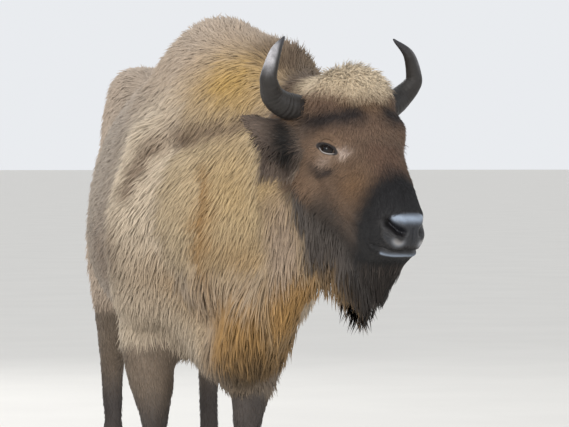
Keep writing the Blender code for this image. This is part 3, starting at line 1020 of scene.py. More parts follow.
    def sink(self, mesh: Mesh) -> None:
        """Draws the surface in by the coat's depth, a little at a time.

        Args:
            mesh: the surface at the coat's tips.
        """
        surface = Surface(mesh)
        share = self.shares(surface.places, surface, 12)
        muzzle = share["head"] * ease(0.30, 0.42, self.head.read(surface.places)[:, 0])
        depth = self.blended(share, "depth") + 0.014 * self.wool(surface.places)
        depth = depth * (1 - 0.85 * muzzle)
        normals = surface.normals()
        faces = [tuple(face.vertices) for face in mesh.polygons]
        inside = BVHTree.FromPolygons([tuple(place) for place in surface.places], faces)
        # How far it is through the body at each point, so that thin parts keep a core.
        room = np.full(len(depth), 1.0)
        for index, (place, normal) in enumerate(zip(surface.places, normals)):
            through = inside.ray_cast(Vector(place - 0.002 * normal), Vector(-normal), 0.4)[3]
            if through:
                room[index] = through
        depth = surface.relaxed(np.minimum(depth, self.share_of_room * room), 6)
        for _ in range(self.sink_steps):
            surface.push(-depth / self.sink_steps)
            surface.settle(1, 0.3)
        surface.write()

    def wool(self, points: Array) -> Array:
        """How woolly the coat is: 1 on the poll and between the horns."""
        folded = fold(self.head.read(points))
        return np.clip(1.25 * spot(folded, (-0.008, -0.04, 0.0), (0.066, 0.085, 0.135)), 0, 1)

    @staticmethod
    def collar(place: Array) -> Array:
        """How near each place of the head lies to a horn's root."""
        return spot(fold(place), (0.040, -0.105, 0.135), (0.050, 0.060, 0.040))

    @staticmethod
    def below_chin(place: Array) -> Array:
        """How far each place of the head lies below the chin and jaw, where the beard hangs."""
        return place[:, 0] - 0.50 - 0.6 * (0.10 + place[:, 1])

    def sculpt(self, mesh: Mesh) -> None:
        """Gives the head its sockets, nostrils, mouth and ears, and the trunk its folds.

        Args:
            mesh: the skin.
        """
        surface = Surface(mesh)
        self.sculpt_trunk(surface)
        self.sculpt_face(surface)
        self.sculpt_nose(surface)
        self.sculpt_ears(surface)
        for eye in self.eyes:
            self.sculpt_orbit(surface, eye)
        surface.write()

    def sculpt_trunk(self, surface: Surface) -> None:
        """The crease in front of the shoulder and the valley below the hump.

        Args:
            surface: the skin.
        """
        side = self.trunk.folded(surface.places)
        crease = 0.020 * stroke(side, Markings.CREASE, 0.024)
        valley = 0.016 * stroke(side, Markings.BAND, 0.045)
        elbow = 0.012 * spot(side, (0.30, 0.06, 0.72), (0.10, 0.05, 0.16))
        surface.push(-(crease + valley + elbow))

    def sculpt_face(self, surface: Surface) -> None:
        """Cheekbone, brow and the hollow between eye and nose.

        Args:
            surface: the skin.
        """
        folded = fold(self.head.read(surface.places))
        raised = 0.006 * stroke(folded, self.CHEEKBONE, 0.018)
        raised += 0.005 * spot(folded, (0.125, -0.055, 0.11), (0.02, 0.03, 0.03))
        hollow = 0.006 * spot(folded, (0.27, -0.045, 0.09), (0.05, 0.025, 0.04))
        hollow += 0.005 * stroke(folded, self.CHEEK_FURROW, 0.015)
        surface.push(raised - hollow)

    def sculpt_nose(self, surface: Surface) -> None:
        """Nostrils with their wings, the upper lip's groove, the mouth and the lower lip.

        Args:
            surface: the skin.
        """
        folded = fold(self.head.read(surface.places))
        hole = stroke(folded, self.NOSTRIL, 0.0120)
        wing = stroke(folded, self.NOSTRIL, 0.023) - hole
        mouth = stroke(folded, self.MOUTH, 0.0055)
        lip = stroke(folded, self.LOWER_LIP, 0.008)
        groove = stroke(folded, self.GROOVE, 0.0050)
        surface.push(0.0045 * wing + 0.003 * lip - 0.022 * hole**1.3 - 0.009 * mouth - 0.003 * groove)
        surface.settle(2, 0.35 * ease(0.02, 0.3, hole + mouth))

    def sculpt_ears(self, surface: Surface) -> None:
        """The hollow in the front of each ear.

        Args:
            surface: the skin.
        """
        normals = surface.normals()
        front = ease(0.1, 0.6, normals @ self.head.facing)
        for name, side in SIDES.items():
            along = unit(0.62 * side * self.head.left - 0.68 * self.head.facing + 0.40 * UP)
            low, high = np.array(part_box("ear_" + name))
            offset = surface.places - (low + high) / 2
            reach = offset @ along
            high_low = (offset - reach[:, None] * along) @ unit(np.cross(along, self.head.facing))
            hollow = front * np.exp(-((reach / 0.055) ** 2) - (high_low / 0.026) ** 2)
            surface.places = surface.places - normals * (0.013 * hollow)[:, None]

    def sculpt_orbit(self, surface: Surface, eye: Eye) -> None:
        """Raises the rim round an eye, and clears the skin from where the ball and lids sit.

        Args:
            surface: the skin.
            eye: the eye.
        """
        rows = eye.read(surface.places)
        radius = np.hypot(rows[:, 0], rows[:, 1])
        facing_out = ease(-0.03, -0.01, rows[:, 2])
        rim = ease(0.060, 0.034, radius) * facing_out
        level = np.where(radius < 0.05, self.rim_level, rows[:, 2])
        raised = rows[:, 2] + rim * np.maximum(level - rows[:, 2], 0) * 0.9
        rows[:, 2] = np.where(rim > 0, raised, rows[:, 2])
        rows[:, 2] -= ease(0.029, 0.025, radius) * facing_out * self.pit_depth
        surface.places = eye.place(rows)

    def lids(self, eye: Eye) -> Mesh:
        """The lids round an eye, as rings from behind the slit's edge out under the coat.

        Args:
            eye: the eye.

        Returns:
            The lids.
        """
        around = np.linspace(0, FULL_TURN, self.lid_sides, endpoint=False)
        along = eye.SLIT_LONG * np.cos(around)
        upper = np.sin(around) > 0
        edge = np.column_stack((along, np.sign(np.sin(around)) * eye.half_height(along, upper)))
        away = unit(np.column_stack((np.cos(around) * 0.75, np.sin(around))))
        places = []
        for gap, rise in self.LID_PROFILE:
            flat = edge + away * gap
            radius = np.hypot(*flat.T)
            ball = np.sqrt(np.maximum(eye.RADIUS**2 - np.minimum(radius, eye.BALL_EDGE) ** 2, 0))
            fall = np.maximum(radius - eye.BALL_EDGE, 0) * 0.30
            places.append(eye.place(np.column_stack((flat, ball + rise - fall))))
        faces = ring_faces(len(self.LID_PROFILE), self.lid_sides)
        mesh = mesh_of("lids", np.concatenate(places), faces)
        if (mesh.polygons[len(faces) // 2].normal @ Vector(eye.outward)) < 0:
            mesh.flip_normals()
        return mesh

    def lie(self, surface: Surface, share: dict, normals: Array) -> tuple:
        """Which way the hair points at each place.

        Args:
            surface: the skin.
            share: how much each place belongs to each of the solids.
            normals: the skin's even normals.

        Returns:
            The hair's direction, the direction its tufts arch to, and how freely it hangs.
        """
        head, points = self.head, surface.places
        place = head.read(points)
        side = np.sign(place[:, 2])[:, None]
        lie = sum(amount[:, None] * np.array(zone_of(node).lie) for node, amount in share.items())
        middle_line = ease(0.14, 0.03, np.abs(self.trunk.sideways(points))) * ease(0.05, 0.45, normals[:, 2])
        trunk = sum(share[name] for name in ("neck", "shoulders", "barrel", "rump"))
        lie = towards(lie, (middle_line * trunk)[:, None], np.array((0.0, 1.0, 0.25)))
        face = share["head"][:, None]
        aside = side * ease(0.01, 0.06, np.abs(place[:, 2]))[:, None]
        back = ease(0.02, -0.08, place[:, 1])[:, None]
        over_face = 0.9 * head.down * (1 - back) + aside * 0.45 * head.left
        lie = towards(lie, face, over_face + back * (-0.75 * head.out - 0.2 * UP))
        from_crown = points - head.place(-0.09, -0.13)
        lie = towards(lie, self.wool(points)[:, None], unit(from_crown + 0.05 * head.down))
        for name, turn in SIDES.items():
            top = self.ear_top(name, points)[:, None]
            fringe = 0.40 * turn * head.left - 0.15 * head.facing - 0.90 * UP
            edge = 0.75 * turn * head.left - 0.45 * head.facing + 0.15 * UP
            lie = towards(lie, share["ear_" + name][:, None], towards(fringe, top, edge))
        for eye in self.eyes:
            rows = eye.read(points)
            near = (ease(0.055, 0.025, np.hypot(rows[:, 0], rows[:, 1])) * (rows[:, 2] > -0.02))[:, None]
            away = 0.6 * rows[:, :1] * eye.nosewards + rows[:, 1:2] * eye.above
            lie = towards(lie, near, unit(away - 0.012 * eye.nosewards - 0.004 * eye.above))
        lie = towards(lie, self.collar(place)[:, None], side * head.left + 0.1 * UP)
        chin = ease(-0.01, 0.02, self.below_chin(place))[:, None] * face
        lie = unit(towards(lie, chin, np.array(ZONES["beard"].lie)))
        along_normal = (lie * normals).sum(1)
        ears = share["ear_left"] + share["ear_right"]
        hanging = np.clip(share["beard"] + share["brisket"] + share["tail_switch"] + ears + chin[:, 0], 0, 1)
        hanging = (hanging * ease(0.45, 0.85, along_normal))[:, None]
        flat = unit(lie - along_normal[:, None] * normals)
        lie = unit(surface.relaxed(unit(towards(flat, hanging, lie)), 8))
        upright = normals + 0.4 * hanging * head.out
        rise = unit(upright - (upright * lie).sum(1, keepdims=True) * lie)
        return lie, rise, hanging[:, 0]

    def ear_top(self, name: str, points: Array) -> Array:
        """How far each place lies in the upper half of an ear: 1 well above its middle line.

        Args:
            name: the ear's side.
            points: the places.

        Returns:
            A number for each place.
        """
        low, high = np.array(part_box("ear_" + name))
        offset = points - (low + high) / 2
        outwards = SIDES[name] * (offset @ self.head.left)
        return ease(-0.020, 0.022, offset @ UP - 0.55 * outwards)

    def describe(self, mesh: Mesh) -> None:
        """Stores the markings, and each thing about the coat that the tufts read.

        Args:
            mesh: the finished skin.
        """
        surface = Surface(mesh)
        points = surface.places
        share = self.share = self.shares(points, surface, 6)
        lie, rise, hanging = self.lie(surface, share, unit(surface.relaxed(surface.normals(), 10)))
        place = self.head.read(points)
        down, out, height = place[:, 0], place[:, 1], points[:, 2]
        body = np.arange(len(points)) < self.body_count
        gap = np.ones(len(points))
        gap[~body] = np.tile(np.repeat([gap for gap, _ in self.LID_PROFILE], self.lid_sides), len(self.eyes))
        near_eye, low, liner, under_lid = np.zeros((4, len(points)))
        for eye in self.eyes:
            x, y, away = eye.read(points).T
            level = np.abs(away) < 0.04
            near_eye += np.exp(-((np.linalg.norm(points - eye.centre, axis=1) / 0.036) ** 2))
            low += (y < 0) * ease(0.026, 0.018, np.abs(x)) * level
            oval = np.hypot(x / self.LINER[0], y / np.where(y > 0, *self.LINER[1:]))
            liner = np.maximum(liner, ease(1.08, 0.96, oval) * level)
            under_lid += ease(0.029, 0.025, np.hypot(x, y)) * level
        wool = self.wool(points)
        face = share["head"] * (1 - wool)
        muzzle = face * ease(0.28, 0.42, down)
        jaw = face * ease(-0.13, -0.22, out)
        chin = face * ease(-0.01, 0.02, self.below_chin(place))
        collar = self.collar(place) * (1 - np.clip(near_eye * 1.5, 0, 1))
        top = sum(share["ear_" + name] * self.ear_top(name, points) for name in SIDES)
        reach = self.blended(share, "reach") * (1 - 0.62 * muzzle)
        reach = reach * (1 - 0.70 * np.clip(near_eye * 1.3, 0, 1))
        reach = reach + 0.024 * wool + 0.020 * jaw + 0.045 * chin + 0.016 * collar
        reach = reach * (1 - 0.5 * hanging * ease(0.46, 0.54, down))
        reach = reach * (1 - 0.5 * share["brisket"] * ease(0.66, 0.54, height))
        reach = reach + 0.025 * share["beard"] * ease(0.36, 0.42, down) * ease(-0.20, -0.26, out)
        girth = self.blended(share, "girth") * (1 - 0.35 * muzzle) * (1 - 0.35 * np.clip(near_eye, 0, 1))
        lift = self.blended(share, "lift") + 20 * wool - 5 * muzzle + 14 * collar
        bare = self.bare(fold(place))
        lid = np.maximum(ease(0.0062, 0.0036, gap), liner)
        fullness = np.clip(1 - np.maximum(bare["skin"], lid), 0, 1) ** 2 * np.where(body, 1 - under_lid, 1.0)
        fullness = fullness * (1 - stroke(fold(place), self.LOWER_LIP, 0.012)) * ease(0.058, 0.072, height)
        pale_rim = low * ease(0.0046, 0.0030, gap) * ease(0.0002, 0.0012, gap)
        for name, rows in {
            "coat_colour": np.column_stack((self.markings.coat(points, share), np.ones(len(points)))),
            "rise": rise,
            "lie": lie,
            "reach": reach * (1 - 0.5 * top),
            "girth": (girth + 0.0010 * chin) * (1 - 0.40 * wool),
            "lift": np.radians(lift),
            "fullness": np.clip(fullness, 0, 1),
            "bare": np.maximum(bare["skin"], lid),
            # The lower lids' pale rims, and the pale patch under the nostril, which is partly a painted wet
            # highlight.
            "rim": np.maximum(pale_rim, 0.8 * bare["under"]),
            "wet": bare["wet"],
            # Pale skin, and the painted highlight on the nose's top.
            "pale": bare["pale"],
            "pit": bare["pit"],
        }.items():
            store(mesh, name, rows)

    def bare(self, folded: Array) -> dict:
        """Where the skin shows: the nose pad, the nostrils, the lips and the lids' rims.

        Args:
            folded: folded places of the head.

        Returns:
            For each place, by name, how bare and wet it is; how pale it is, from pale skin and from the
            painted highlight on the nose's top; how much it is the pale patch under the nostril, partly pale
            skin and partly a painted wet highlight; and how much painted shade darkens it deep in the
            nostrils and along the mouth.
        """
        down, out, aside = folded.T
        pad = ease(0.412, 0.424, down + 0.10 * np.maximum(out, -0.02)) * ease(0.075, 0.065, aside)
        pad = pad * ease(0.500, 0.490, down) * ease(-0.050, -0.038, out)
        hole = stroke(folded, self.NOSTRIL, 0.0150)
        lips = 0.9 * stroke(folded, self.MOUTH[:4], 0.010)
        lower = stroke(folded, self.LOWER_LIP, 0.0065)
        # The painted highlight along the nose's top.
        top = stroke(folded, self.NOSE_HIGHLIGHT, 0.011)
        # The pale patch under the nostril: partly pale skin, partly a painted wet highlight.
        under = spot(folded, nearest_rows(folded, [(0.483, -0.019, 0.041)])[0], (0.0125, 0.011, 0.012))
        under = np.clip(1.8 * under, 0, 1)
        return {
            "skin": np.clip(np.maximum.reduce((pad, hole, lips, 0.9 * lower)), 0, 1),
            "wet": np.clip(np.maximum(pad, 0.6 * lips), 0, 1),
            "pale": np.clip(np.maximum.reduce((0.9 * top, under, 0.75 * lower)), 0, 1),
            "under": under,
            # Painted shade deep in the nostrils and along the mouth's seam.
            "pit": np.clip(hole * 1.5 + 0.9 * stroke(folded, self.MOUTH, 0.004), 0, 1),
        }


# Node trees


class Graph:
    """A node tree being drawn."""

    def __init__(self, tree: NodeTree) -> None:
        """Starts on an empty tree."""
        self.tree = tree

    def add(self, kind: str, inputs: dict | None = None, **settings: object) -> Node:
        """Adds a node.

        Args:
            kind: the node's type.
            inputs: values or other nodes' sockets, by the name or the number of the input.
            settings: the node's own options.

        Returns:
            The node.
        """
        node = self.tree.nodes.new(kind)
        for name, value in settings.items():
            setattr(node, name, value)
        return self.fill(node, inputs or {})

    def fill(self, node: Node, inputs: dict) -> Node:
        """Gives a node its inputs.

        Args:
            node: the node.
            inputs: values or other nodes' sockets, by the name or the number of the input.

        Returns:
            The node.
        """
        for name, value in inputs.items():
            if isinstance(value, NodeSocket):
                self.tree.links.new(value, node.inputs[name])
            else:
                node.inputs[name].default_value = value
        return node

    def group(self, tree: NodeTree, inputs: dict) -> Node:
        """A shader group placed in a material, with its own inputs."""
        return self.add("ShaderNodeGroup", inputs, node_tree=tree)

    def sum(self, operation: str, *values: object) -> NodeSocket:
        """The result of a sum on numbers, such as ADD or MULTIPLY."""
        return self.add("ShaderNodeMath", dict(enumerate(values)), operation=operation).outputs[0]

    def times(self, *values: object) -> NodeSocket:
        """One number times another."""
        return self.sum("MULTIPLY", *values)

    def vector(self, operation: str, *values: object) -> NodeSocket:
        """The result of a sum on vectors."""
        return self.add("ShaderNodeVectorMath", dict(enumerate(values)), operation=operation).outputs[0]

    def combined(self, *values: object) -> NodeSocket:
        """A vector of two or three numbers."""
        return self.add("ShaderNodeCombineXYZ", dict(enumerate(values))).outputs[0]

    def scaled(self, vector: object, scale: object) -> NodeSocket:
        """A vector or colour times a number."""
        return self.add("ShaderNodeVectorMath", {0: vector, "Scale": scale}, operation="SCALE").outputs[0]

    def mixed(self, share: object, first: object, second: object) -> NodeSocket:
        """A colour between two others."""
        inputs = {0: share, 6: first, 7: second}
        return self.add("ShaderNodeMix", inputs, data_type="RGBA").outputs[2]

    def between(self, value: object, low: object, high: object, start: object = 0.0, end: object = 1.0,
                kind: str = "SMOOTHSTEP") -> NodeSocket:
        """A number moved from one range, low to high, to another, start to end, and kept inside it."""
        inputs = {0: value, 1: low, 2: high, 3: start, 4: end}
        return self.add("ShaderNodeMapRange", inputs, interpolation_type=kind).outputs[0]

    def own_place(self) -> NodeSocket:
        """A place in the object's own coordinates."""
        return self.add("ShaderNodeTexCoord").outputs["Object"]

    def noise(self, place: object, scale: object, detail: float = 2.0) -> NodeSocket:
        """A soft noise, from 0 to 1."""
        inputs = {"Vector": place, "Scale": scale, "Detail": detail}
        return self.add("ShaderNodeTexNoise", inputs).outputs["Fac"]

    def read(self, name: str, output: str = "Fac") -> NodeSocket:
        """An attribute of the mesh, in a material."""
        return self.add("ShaderNodeAttribute", attribute_name=name).outputs[output]


def new_group(name: str, kind: str, inputs: dict, outputs: dict) -> tuple:
    """A node group with named sockets.

    Args:
        name: the group's name.
        kind: Blender's kind of tree.
        inputs: the input sockets' kinds, by name.
        outputs: the output sockets' kinds, by name.

    Returns:
        The group, its graph, the sockets of its inputs and its output node.
    """
    tree = bpy.data.node_groups.new(name, kind)
    for way, sockets in (("INPUT", inputs), ("OUTPUT", outputs)):
        for label, socket in sockets.items():
            tree.interface.new_socket(label, in_out=way, socket_type="NodeSocket" + socket)
    graph = Graph(tree)
    return tree, graph, graph.add("NodeGroupInput").outputs, graph.add("NodeGroupOutput")


@cache
def strands_group() -> NodeTree:
    """Single hairs within a tuft: darker at the root, lighter at the tip, and streaked.

    Returns:
        The shader group, built once.
    """
    inputs = {"Colour": "Color", "Along": "Float", "Across": "Float", "Tone": "Float", "Root": "Float",
              "Tip": "Float", "Spread": "Float"}
    tree, graph, given, end = new_group(
        "strands", "ShaderNodeTree", inputs, {"Colour": "Color", "Height": "Float"})
    place = graph.combined(graph.times(given["Across"], 2.6), graph.times(given["Along"], 1.1),
                           graph.times(given["Tone"], 61.0))
    streak = graph.noise(place, 1.8, 1.0)
    depth = graph.between(given["Along"], 0.0, 0.8, given["Root"], given["Tip"], "LINEAR")
    tone = graph.sum("SUBTRACT", given["Tone"], 0.5)
    tone = graph.sum("MULTIPLY_ADD", tone, given["Spread"], 1.0)
    streaked = graph.between(streak, 0.3, 0.7, 0.85, 1.13, "LINEAR")
    light = graph.times(graph.times(depth, tone), streaked)
    graph.fill(end, {"Colour": graph.scaled(given["Colour"], light), "Height": streak})
    return tree


@cache
def mottle_group() -> NodeTree:
    """Uneven colour and a fine grain, from an object's own coordinates.

    Returns:
        The shader group, built once.
    """
    inputs = {"Place": "Vector", "Blotch": "Float", "Grain": "Float", "Low": "Float", "High": "Float"}
    tree, graph, given, end = new_group(
        "mottle", "ShaderNodeTree", inputs, {"Light": "Float", "Height": "Float"})
    blotch = graph.noise(given["Place"], given["Blotch"], 3.0)
    grain = graph.noise(given["Place"], given["Grain"], 2.0)
    both = graph.sum("MULTIPLY_ADD", grain, 0.35, graph.times(blotch, 0.65))
    light = graph.between(both, 0.3, 0.7, given["Low"], given["High"], "LINEAR")
    graph.fill(end, {"Light": light, "Height": grain})
    return tree


@cache
def growth_group() -> NodeTree:
    """Growth rings and lengthwise fibres of horn and hoof.

    Returns:
        The shader group, built once.
    """
    inputs = {"Along": "Float", "Around": "Float", "Rings": "Float", "Fade": "Float"}
    tree, graph, given, end = new_group(
        "growth", "ShaderNodeTree", inputs, {"Height": "Float", "Light": "Float"})
    turn = graph.times(given["Around"], FULL_TURN)
    x, y = graph.sum("COSINE", turn), graph.sum("SINE", turn)
    sway = graph.noise(graph.combined(x, y, graph.times(given["Along"], 9.0)), 1.1, 1.0)
    phase = graph.sum("MULTIPLY_ADD", given["Along"], given["Rings"], graph.times(sway, 1.1))
    wave = graph.sum("SINE", graph.times(phase, FULL_TURN))
    place = graph.combined(graph.times(x, 9.0), graph.times(y, 9.0), graph.times(given["Along"], 3.0))
    fibre = graph.noise(place, 2.4, 3.0)
    height = graph.sum("MULTIPLY_ADD", graph.times(wave, given["Fade"]), 0.5, fibre)
    graph.fill(end, {"Height": height, "Light": graph.sum("MULTIPLY_ADD", height, 0.22, 0.86)})
    return tree


# Finishes


def new_material(name: str, **constants: object) -> tuple:
    """A material with a Principled shader.

    Args:
        name: the material's name.
        constants: the shader's plain values, with _ for a space in a socket's name.

    Returns:
        The material, its graph and its shader.
    """
    material = bpy.data.materials.new(name)
    material.use_nodes = True
    shader = material.node_tree.nodes["Principled BSDF"]
    for label, value in constants.items():
        shader.inputs[label.replace("_", " ")].default_value = value
    return material, Graph(material.node_tree), shader


def bumped(graph: Graph, shader: Node, height: object, depth: float, strength: float) -> None:
    """Feeds a height through a Bump node to a shader's normal."""
    bump = graph.add("ShaderNodeBump", {"Height": height, "Distance": depth, "Strength": strength})
    graph.fill(shader, {"Normal": bump.outputs[0]})


@dataclass(frozen=True)
class FurFinish:
    """Hair, in the markings' colours."""

    name: str
    root: float = 0.80
    tip: float = 1.05
    spread: float = 0.22
    roughness: float = 0.80
    sheen: float = 0.06

    def build(self) -> Material:
        """Makes the material.

        Returns:
            The material.
        """
        material, graph, shader = new_material(
            self.name, Roughness=self.roughness, Sheen_Weight=self.sheen, Sheen_Roughness=0.45,
            Specular_IOR_Level=0.25)
        strands = graph.group(strands_group(), {
            "Colour": graph.read("coat_colour", "Color"), "Along": graph.read("along"),
            "Across": graph.read("across"), "Tone": graph.read("tone"),
            "Root": self.root, "Tip": self.tip, "Spread": self.spread}).outputs
        graph.fill(shader, {"Base Color": strands["Colour"]})
        bumped(graph, shader, strands["Height"], 0.0012, 0.6)
        return material


@dataclass(frozen=True)
class SkinFinish:
    """Dense undercoat, and the bare skin of nose, lips and lids, with a painted highlight on the nose and
    painted shade in the nostrils and the mouth.
    """

    name: str = "skin and undercoat"
    under: float = 0.78

    def build(self) -> Material:
        """Makes the material.

        Returns:
            The material.
        """
        material, graph, shader = new_material(self.name, Specular_IOR_Level=0.4)
        place = graph.own_place()
        mottle = graph.group(mottle_group(), {
            "Place": place, "Blotch": 26.0, "Grain": 420.0, "Low": 0.7, "High": 1.25}).outputs
        under = graph.scaled(graph.read("coat_colour", "Color"), graph.times(mottle["Light"], self.under))
        bare, wet, pit = graph.read("bare"), graph.read("wet"), graph.read("pit")
        pad = graph.mixed(wet, Tint.LID.socket, Tint.NOSE_PAD.socket)
        # Pale skin, and the painted highlight on the nose's top and under the nostril.
        pad = graph.mixed(graph.read("pale"), pad, Tint.NOSE_PALE.socket)
        # The lower lids' pale rims, and the partly painted highlight under the nostril.
        pad = graph.mixed(graph.read("rim"), pad, Tint.LID_PALE.socket)
        # Painted shade in the nostrils and the mouth.
        pad = graph.mixed(pit, pad, Tint.NOSTRIL.socket)
        colour = graph.mixed(bare, under, graph.scaled(pad, mottle["Light"]))
        cells = graph.add("ShaderNodeTexVoronoi", {"Vector": place, "Scale": 420.0}, feature="SMOOTH_F1")
        pebbles = graph.times(cells.outputs["Distance"], wet)
        height = graph.sum("MULTIPLY_ADD", pebbles, -1.2, mottle["Height"])
        graph.fill(shader, {"Base Color": colour, "Roughness": graph.between(wet, 0.0, 0.8, 0.72, 0.36)})
        bumped(graph, shader, height, 0.0016, 0.8)
        return material


@dataclass(frozen=True)
class KeratinFinish:
    """Horn or hoof: dark, ringed, paler where it is worn, and on the horns also paler where a painted sheen
    lies on the lit side.
    """

    name: str
    root: Tint
    body: Tint
    pale: Tint
    tip: Tint
    rings: float
    roughness: float

    def build(self) -> Material:
        """Makes the material.

        Returns:
            The material.
        """
        material, graph, shader = new_material(
            self.name, Specular_IOR_Level=0.28, Coat_Weight=0.04, Coat_Roughness=0.3)
        along, around = graph.read("along"), graph.read("around")
        fade = graph.between(along, 0.05, 0.75, 1.0, 0.15)
        growth = graph.group(growth_group(), {
            "Along": along, "Around": around, "Rings": self.rings, "Fade": fade}).outputs
        mottle = graph.group(mottle_group(), {
            "Place": graph.own_place(), "Blotch": 34.0, "Grain": 600.0, "Low": 0.75, "High": 1.2})
        mottle = mottle.outputs["Light"]
        colour = graph.mixed(graph.between(along, 0.02, 0.22), self.root.socket, self.body.socket)
        # Wear, and on the horns also a painted sheen.
        worn = graph.times(graph.read("worn"), graph.between(mottle, 0.7, 1.1, 0.35, 1.0))
        colour = graph.mixed(worn, colour, self.pale.socket)
        colour = graph.mixed(graph.between(along, 0.78, 1.0), colour, self.tip.socket)
        colour = graph.scaled(colour, graph.times(growth["Light"], mottle))
        rough = graph.between(mottle, 0.7, 1.2, self.roughness, self.roughness + 0.18)
        graph.fill(shader, {"Base Color": colour, "Roughness": rough})
        bumped(graph, shader, growth["Height"], 0.0012, 0.7)
        return material


@dataclass(frozen=True)
class EyeFinish:
    """A wet, dark eye: pupil, brown iris and a rim of white."""

    name: str = "eye"
    iris: float = 0.80
    pupil_wide: float = 0.40
    pupil_tall: float = 0.24

    def build(self) -> Material:
        """Makes the material.

        Returns:
            The material.
        """
        material, graph, shader = new_material(
            self.name, Roughness=0.18, Specular_IOR_Level=0.15, Coat_Weight=0.5, Coat_Roughness=0.02,
            Coat_IOR=1.33)
        place = graph.read("eye_place", "Vector")
        x, y, _ = graph.add("ShaderNodeSeparateXYZ", {0: place}).outputs
        radius = graph.vector("MULTIPLY", place, (1.0, 1.0, 0.0))
        radius = graph.add("ShaderNodeVectorMath", {0: radius}, operation="LENGTH").outputs["Value"]
        wide, tall = graph.times(x, 1 / self.pupil_wide), graph.times(y, 1 / self.pupil_tall)
        oval = graph.sum("ADD", graph.sum("POWER", wide, 2.0), graph.sum("POWER", tall, 2.0))
        oval = graph.sum("SQRT", oval)
        spoke = graph.combined(graph.times(graph.sum("ARCTAN2", y, x), 7.0), graph.times(radius, 2.0))
        fibres = graph.noise(spoke, 1.6, 3.0)
        brown = graph.scaled(Tint.EYE_BROWN.socket[:3], graph.between(fibres, 0.3, 0.7, 0.6, 1.3))
        edge = graph.between(radius, self.iris, self.iris + 0.08)
        colour = graph.mixed(edge, brown, Tint.EYE_WHITE.socket)
        dark_rim = graph.times(graph.between(radius, self.iris - 0.12, self.iris),
                               graph.between(radius, self.iris + 0.10, self.iris + 0.02))
        colour = graph.mixed(dark_rim, colour, Tint.PUPIL.socket)
        colour = graph.mixed(graph.between(oval, 1.08, 0.94), colour, Tint.PUPIL.socket)
        graph.fill(shader, {"Base Color": colour})
        return material


@dataclass(frozen=True)
class FloorFinish:
    """A plain pale studio floor."""

    name: str = "studio floor"

    def build(self) -> Material:
        """Makes the material.

        Returns:
            The material.
        """
        material, graph, shader = new_material(self.name, Roughness=0.85)
        mottle = graph.group(mottle_group(), {
            "Place": graph.own_place(), "Blotch": 1.5, "Grain": 60.0, "Low": 0.97, "High": 1.03})
        graph.fill(shader, {"Base Color": graph.scaled(Tint.FLOOR.socket[:3], mottle.outputs["Light"])})
        return material


# The coat


@dataclass(frozen=True)
class Tuft:
    """One tuft, lying along +X from its root, a unit long and a unit wide.

    Rings are pairs of how far along and how wide; bend is how far the tip dips, sway how far it
    swings aside, curl how much it winds, and ridge its thickness.
    """

    rings: tuple
    bend: float
    sway: float
    curl: float
    ridge: float

    def mesh(self, name: str) -> Mesh:
        """Makes the tuft as a closed, three-sided blade.

        Args:
            name: the mesh's name.

        Returns:
            The mesh.
        """
        places, along, across = [], [], []
        for far, wide in (*self.rings, (1.0, 0.0)):
            sideways = self.sway * far**2 + self.curl * math.sin(far * 5.5)
            height = -self.bend * far**2 + self.curl * 0.03 * (1 - math.cos(far * 6.0))
            corners = ((0.5, 0.0), (-0.5, 0.0), (0.0, self.ridge)) if wide else ((0.0, 0.0),)
            for aside, up in corners:
                places.append((far, sideways + aside * wide, height + up * max(wide, 0.2)))
                along.append(far)
                across.append(aside)
        last = len(places) - 1
        tip = [(last - 3 + i, last - 3 + (i + 1) % 3, last) for i in range(3)]
        mesh = outward(mesh_of(name, places, ring_faces(len(self.rings), 3) + tip + [(2, 1, 0)]))
        store(mesh, "along", along)
        store(mesh, "across", across)
        chart = mesh.uv_layers.new(name="chart")
        for loop in mesh.loops:
            chart.data[loop.index].uv = (along[loop.vertex_index], 0.5 + across[loop.vertex_index] * 0.9)
        return mesh


class Hair(Enum):
    """The kinds of tuft, each in a few shapes."""

    SHORT = "short"
    LOCK = "lock"
    WOOL = "wool"

    def shapes(self) -> list:
        """The tufts of this kind.

        Returns:
            A tuft for each of its shapes.
        """
        rings, ridge, shapes = {
            Hair.SHORT: (((-0.03, 0.75), (0.45, 1.0)), 0.045, (
                (0.10, 0.0, 0.0), (0.16, 1.3, 0.0), (0.13, -1.3, 0.0), (0.05, 0.6, 0.0), (0.20, -0.5, 0.0))),
            Hair.LOCK: (((-0.02, 0.6), (0.22, 1.0), (0.48, 1.0), (0.75, 0.7)), 0.030, (
                (0.06, 1.0, 0.3), (0.10, -1.0, 0.4), (0.04, 0.4, -0.6), (0.12, -0.4, 0.8))),
            Hair.WOOL: (((-0.03, 0.8), (0.33, 1.0), (0.68, 0.8)), 0.045, (
                (0.30, 2.0, 1.2), (0.45, -2.2, 1.6), (0.20, 1.2, -2.0), (0.55, -1.0, -1.2),
                (0.05, 0.0, 2.4))),
        }[self]
        return [Tuft(rings, bend, sway, curl, ridge) for bend, sway, curl in shapes]

    def collection(self) -> Collection:
        """A collection of this kind's tufts, kept out of the scene.

        Returns:
            The collection.
        """
        held = bpy.data.collections.new(self.value + " tufts")
        for index, tuft in enumerate(self.shapes()):
            mesh = tuft.mesh(f"{self.value}_tuft_{index}")
            held.objects.link(bpy.data.objects.new(mesh.name, mesh))
        return held


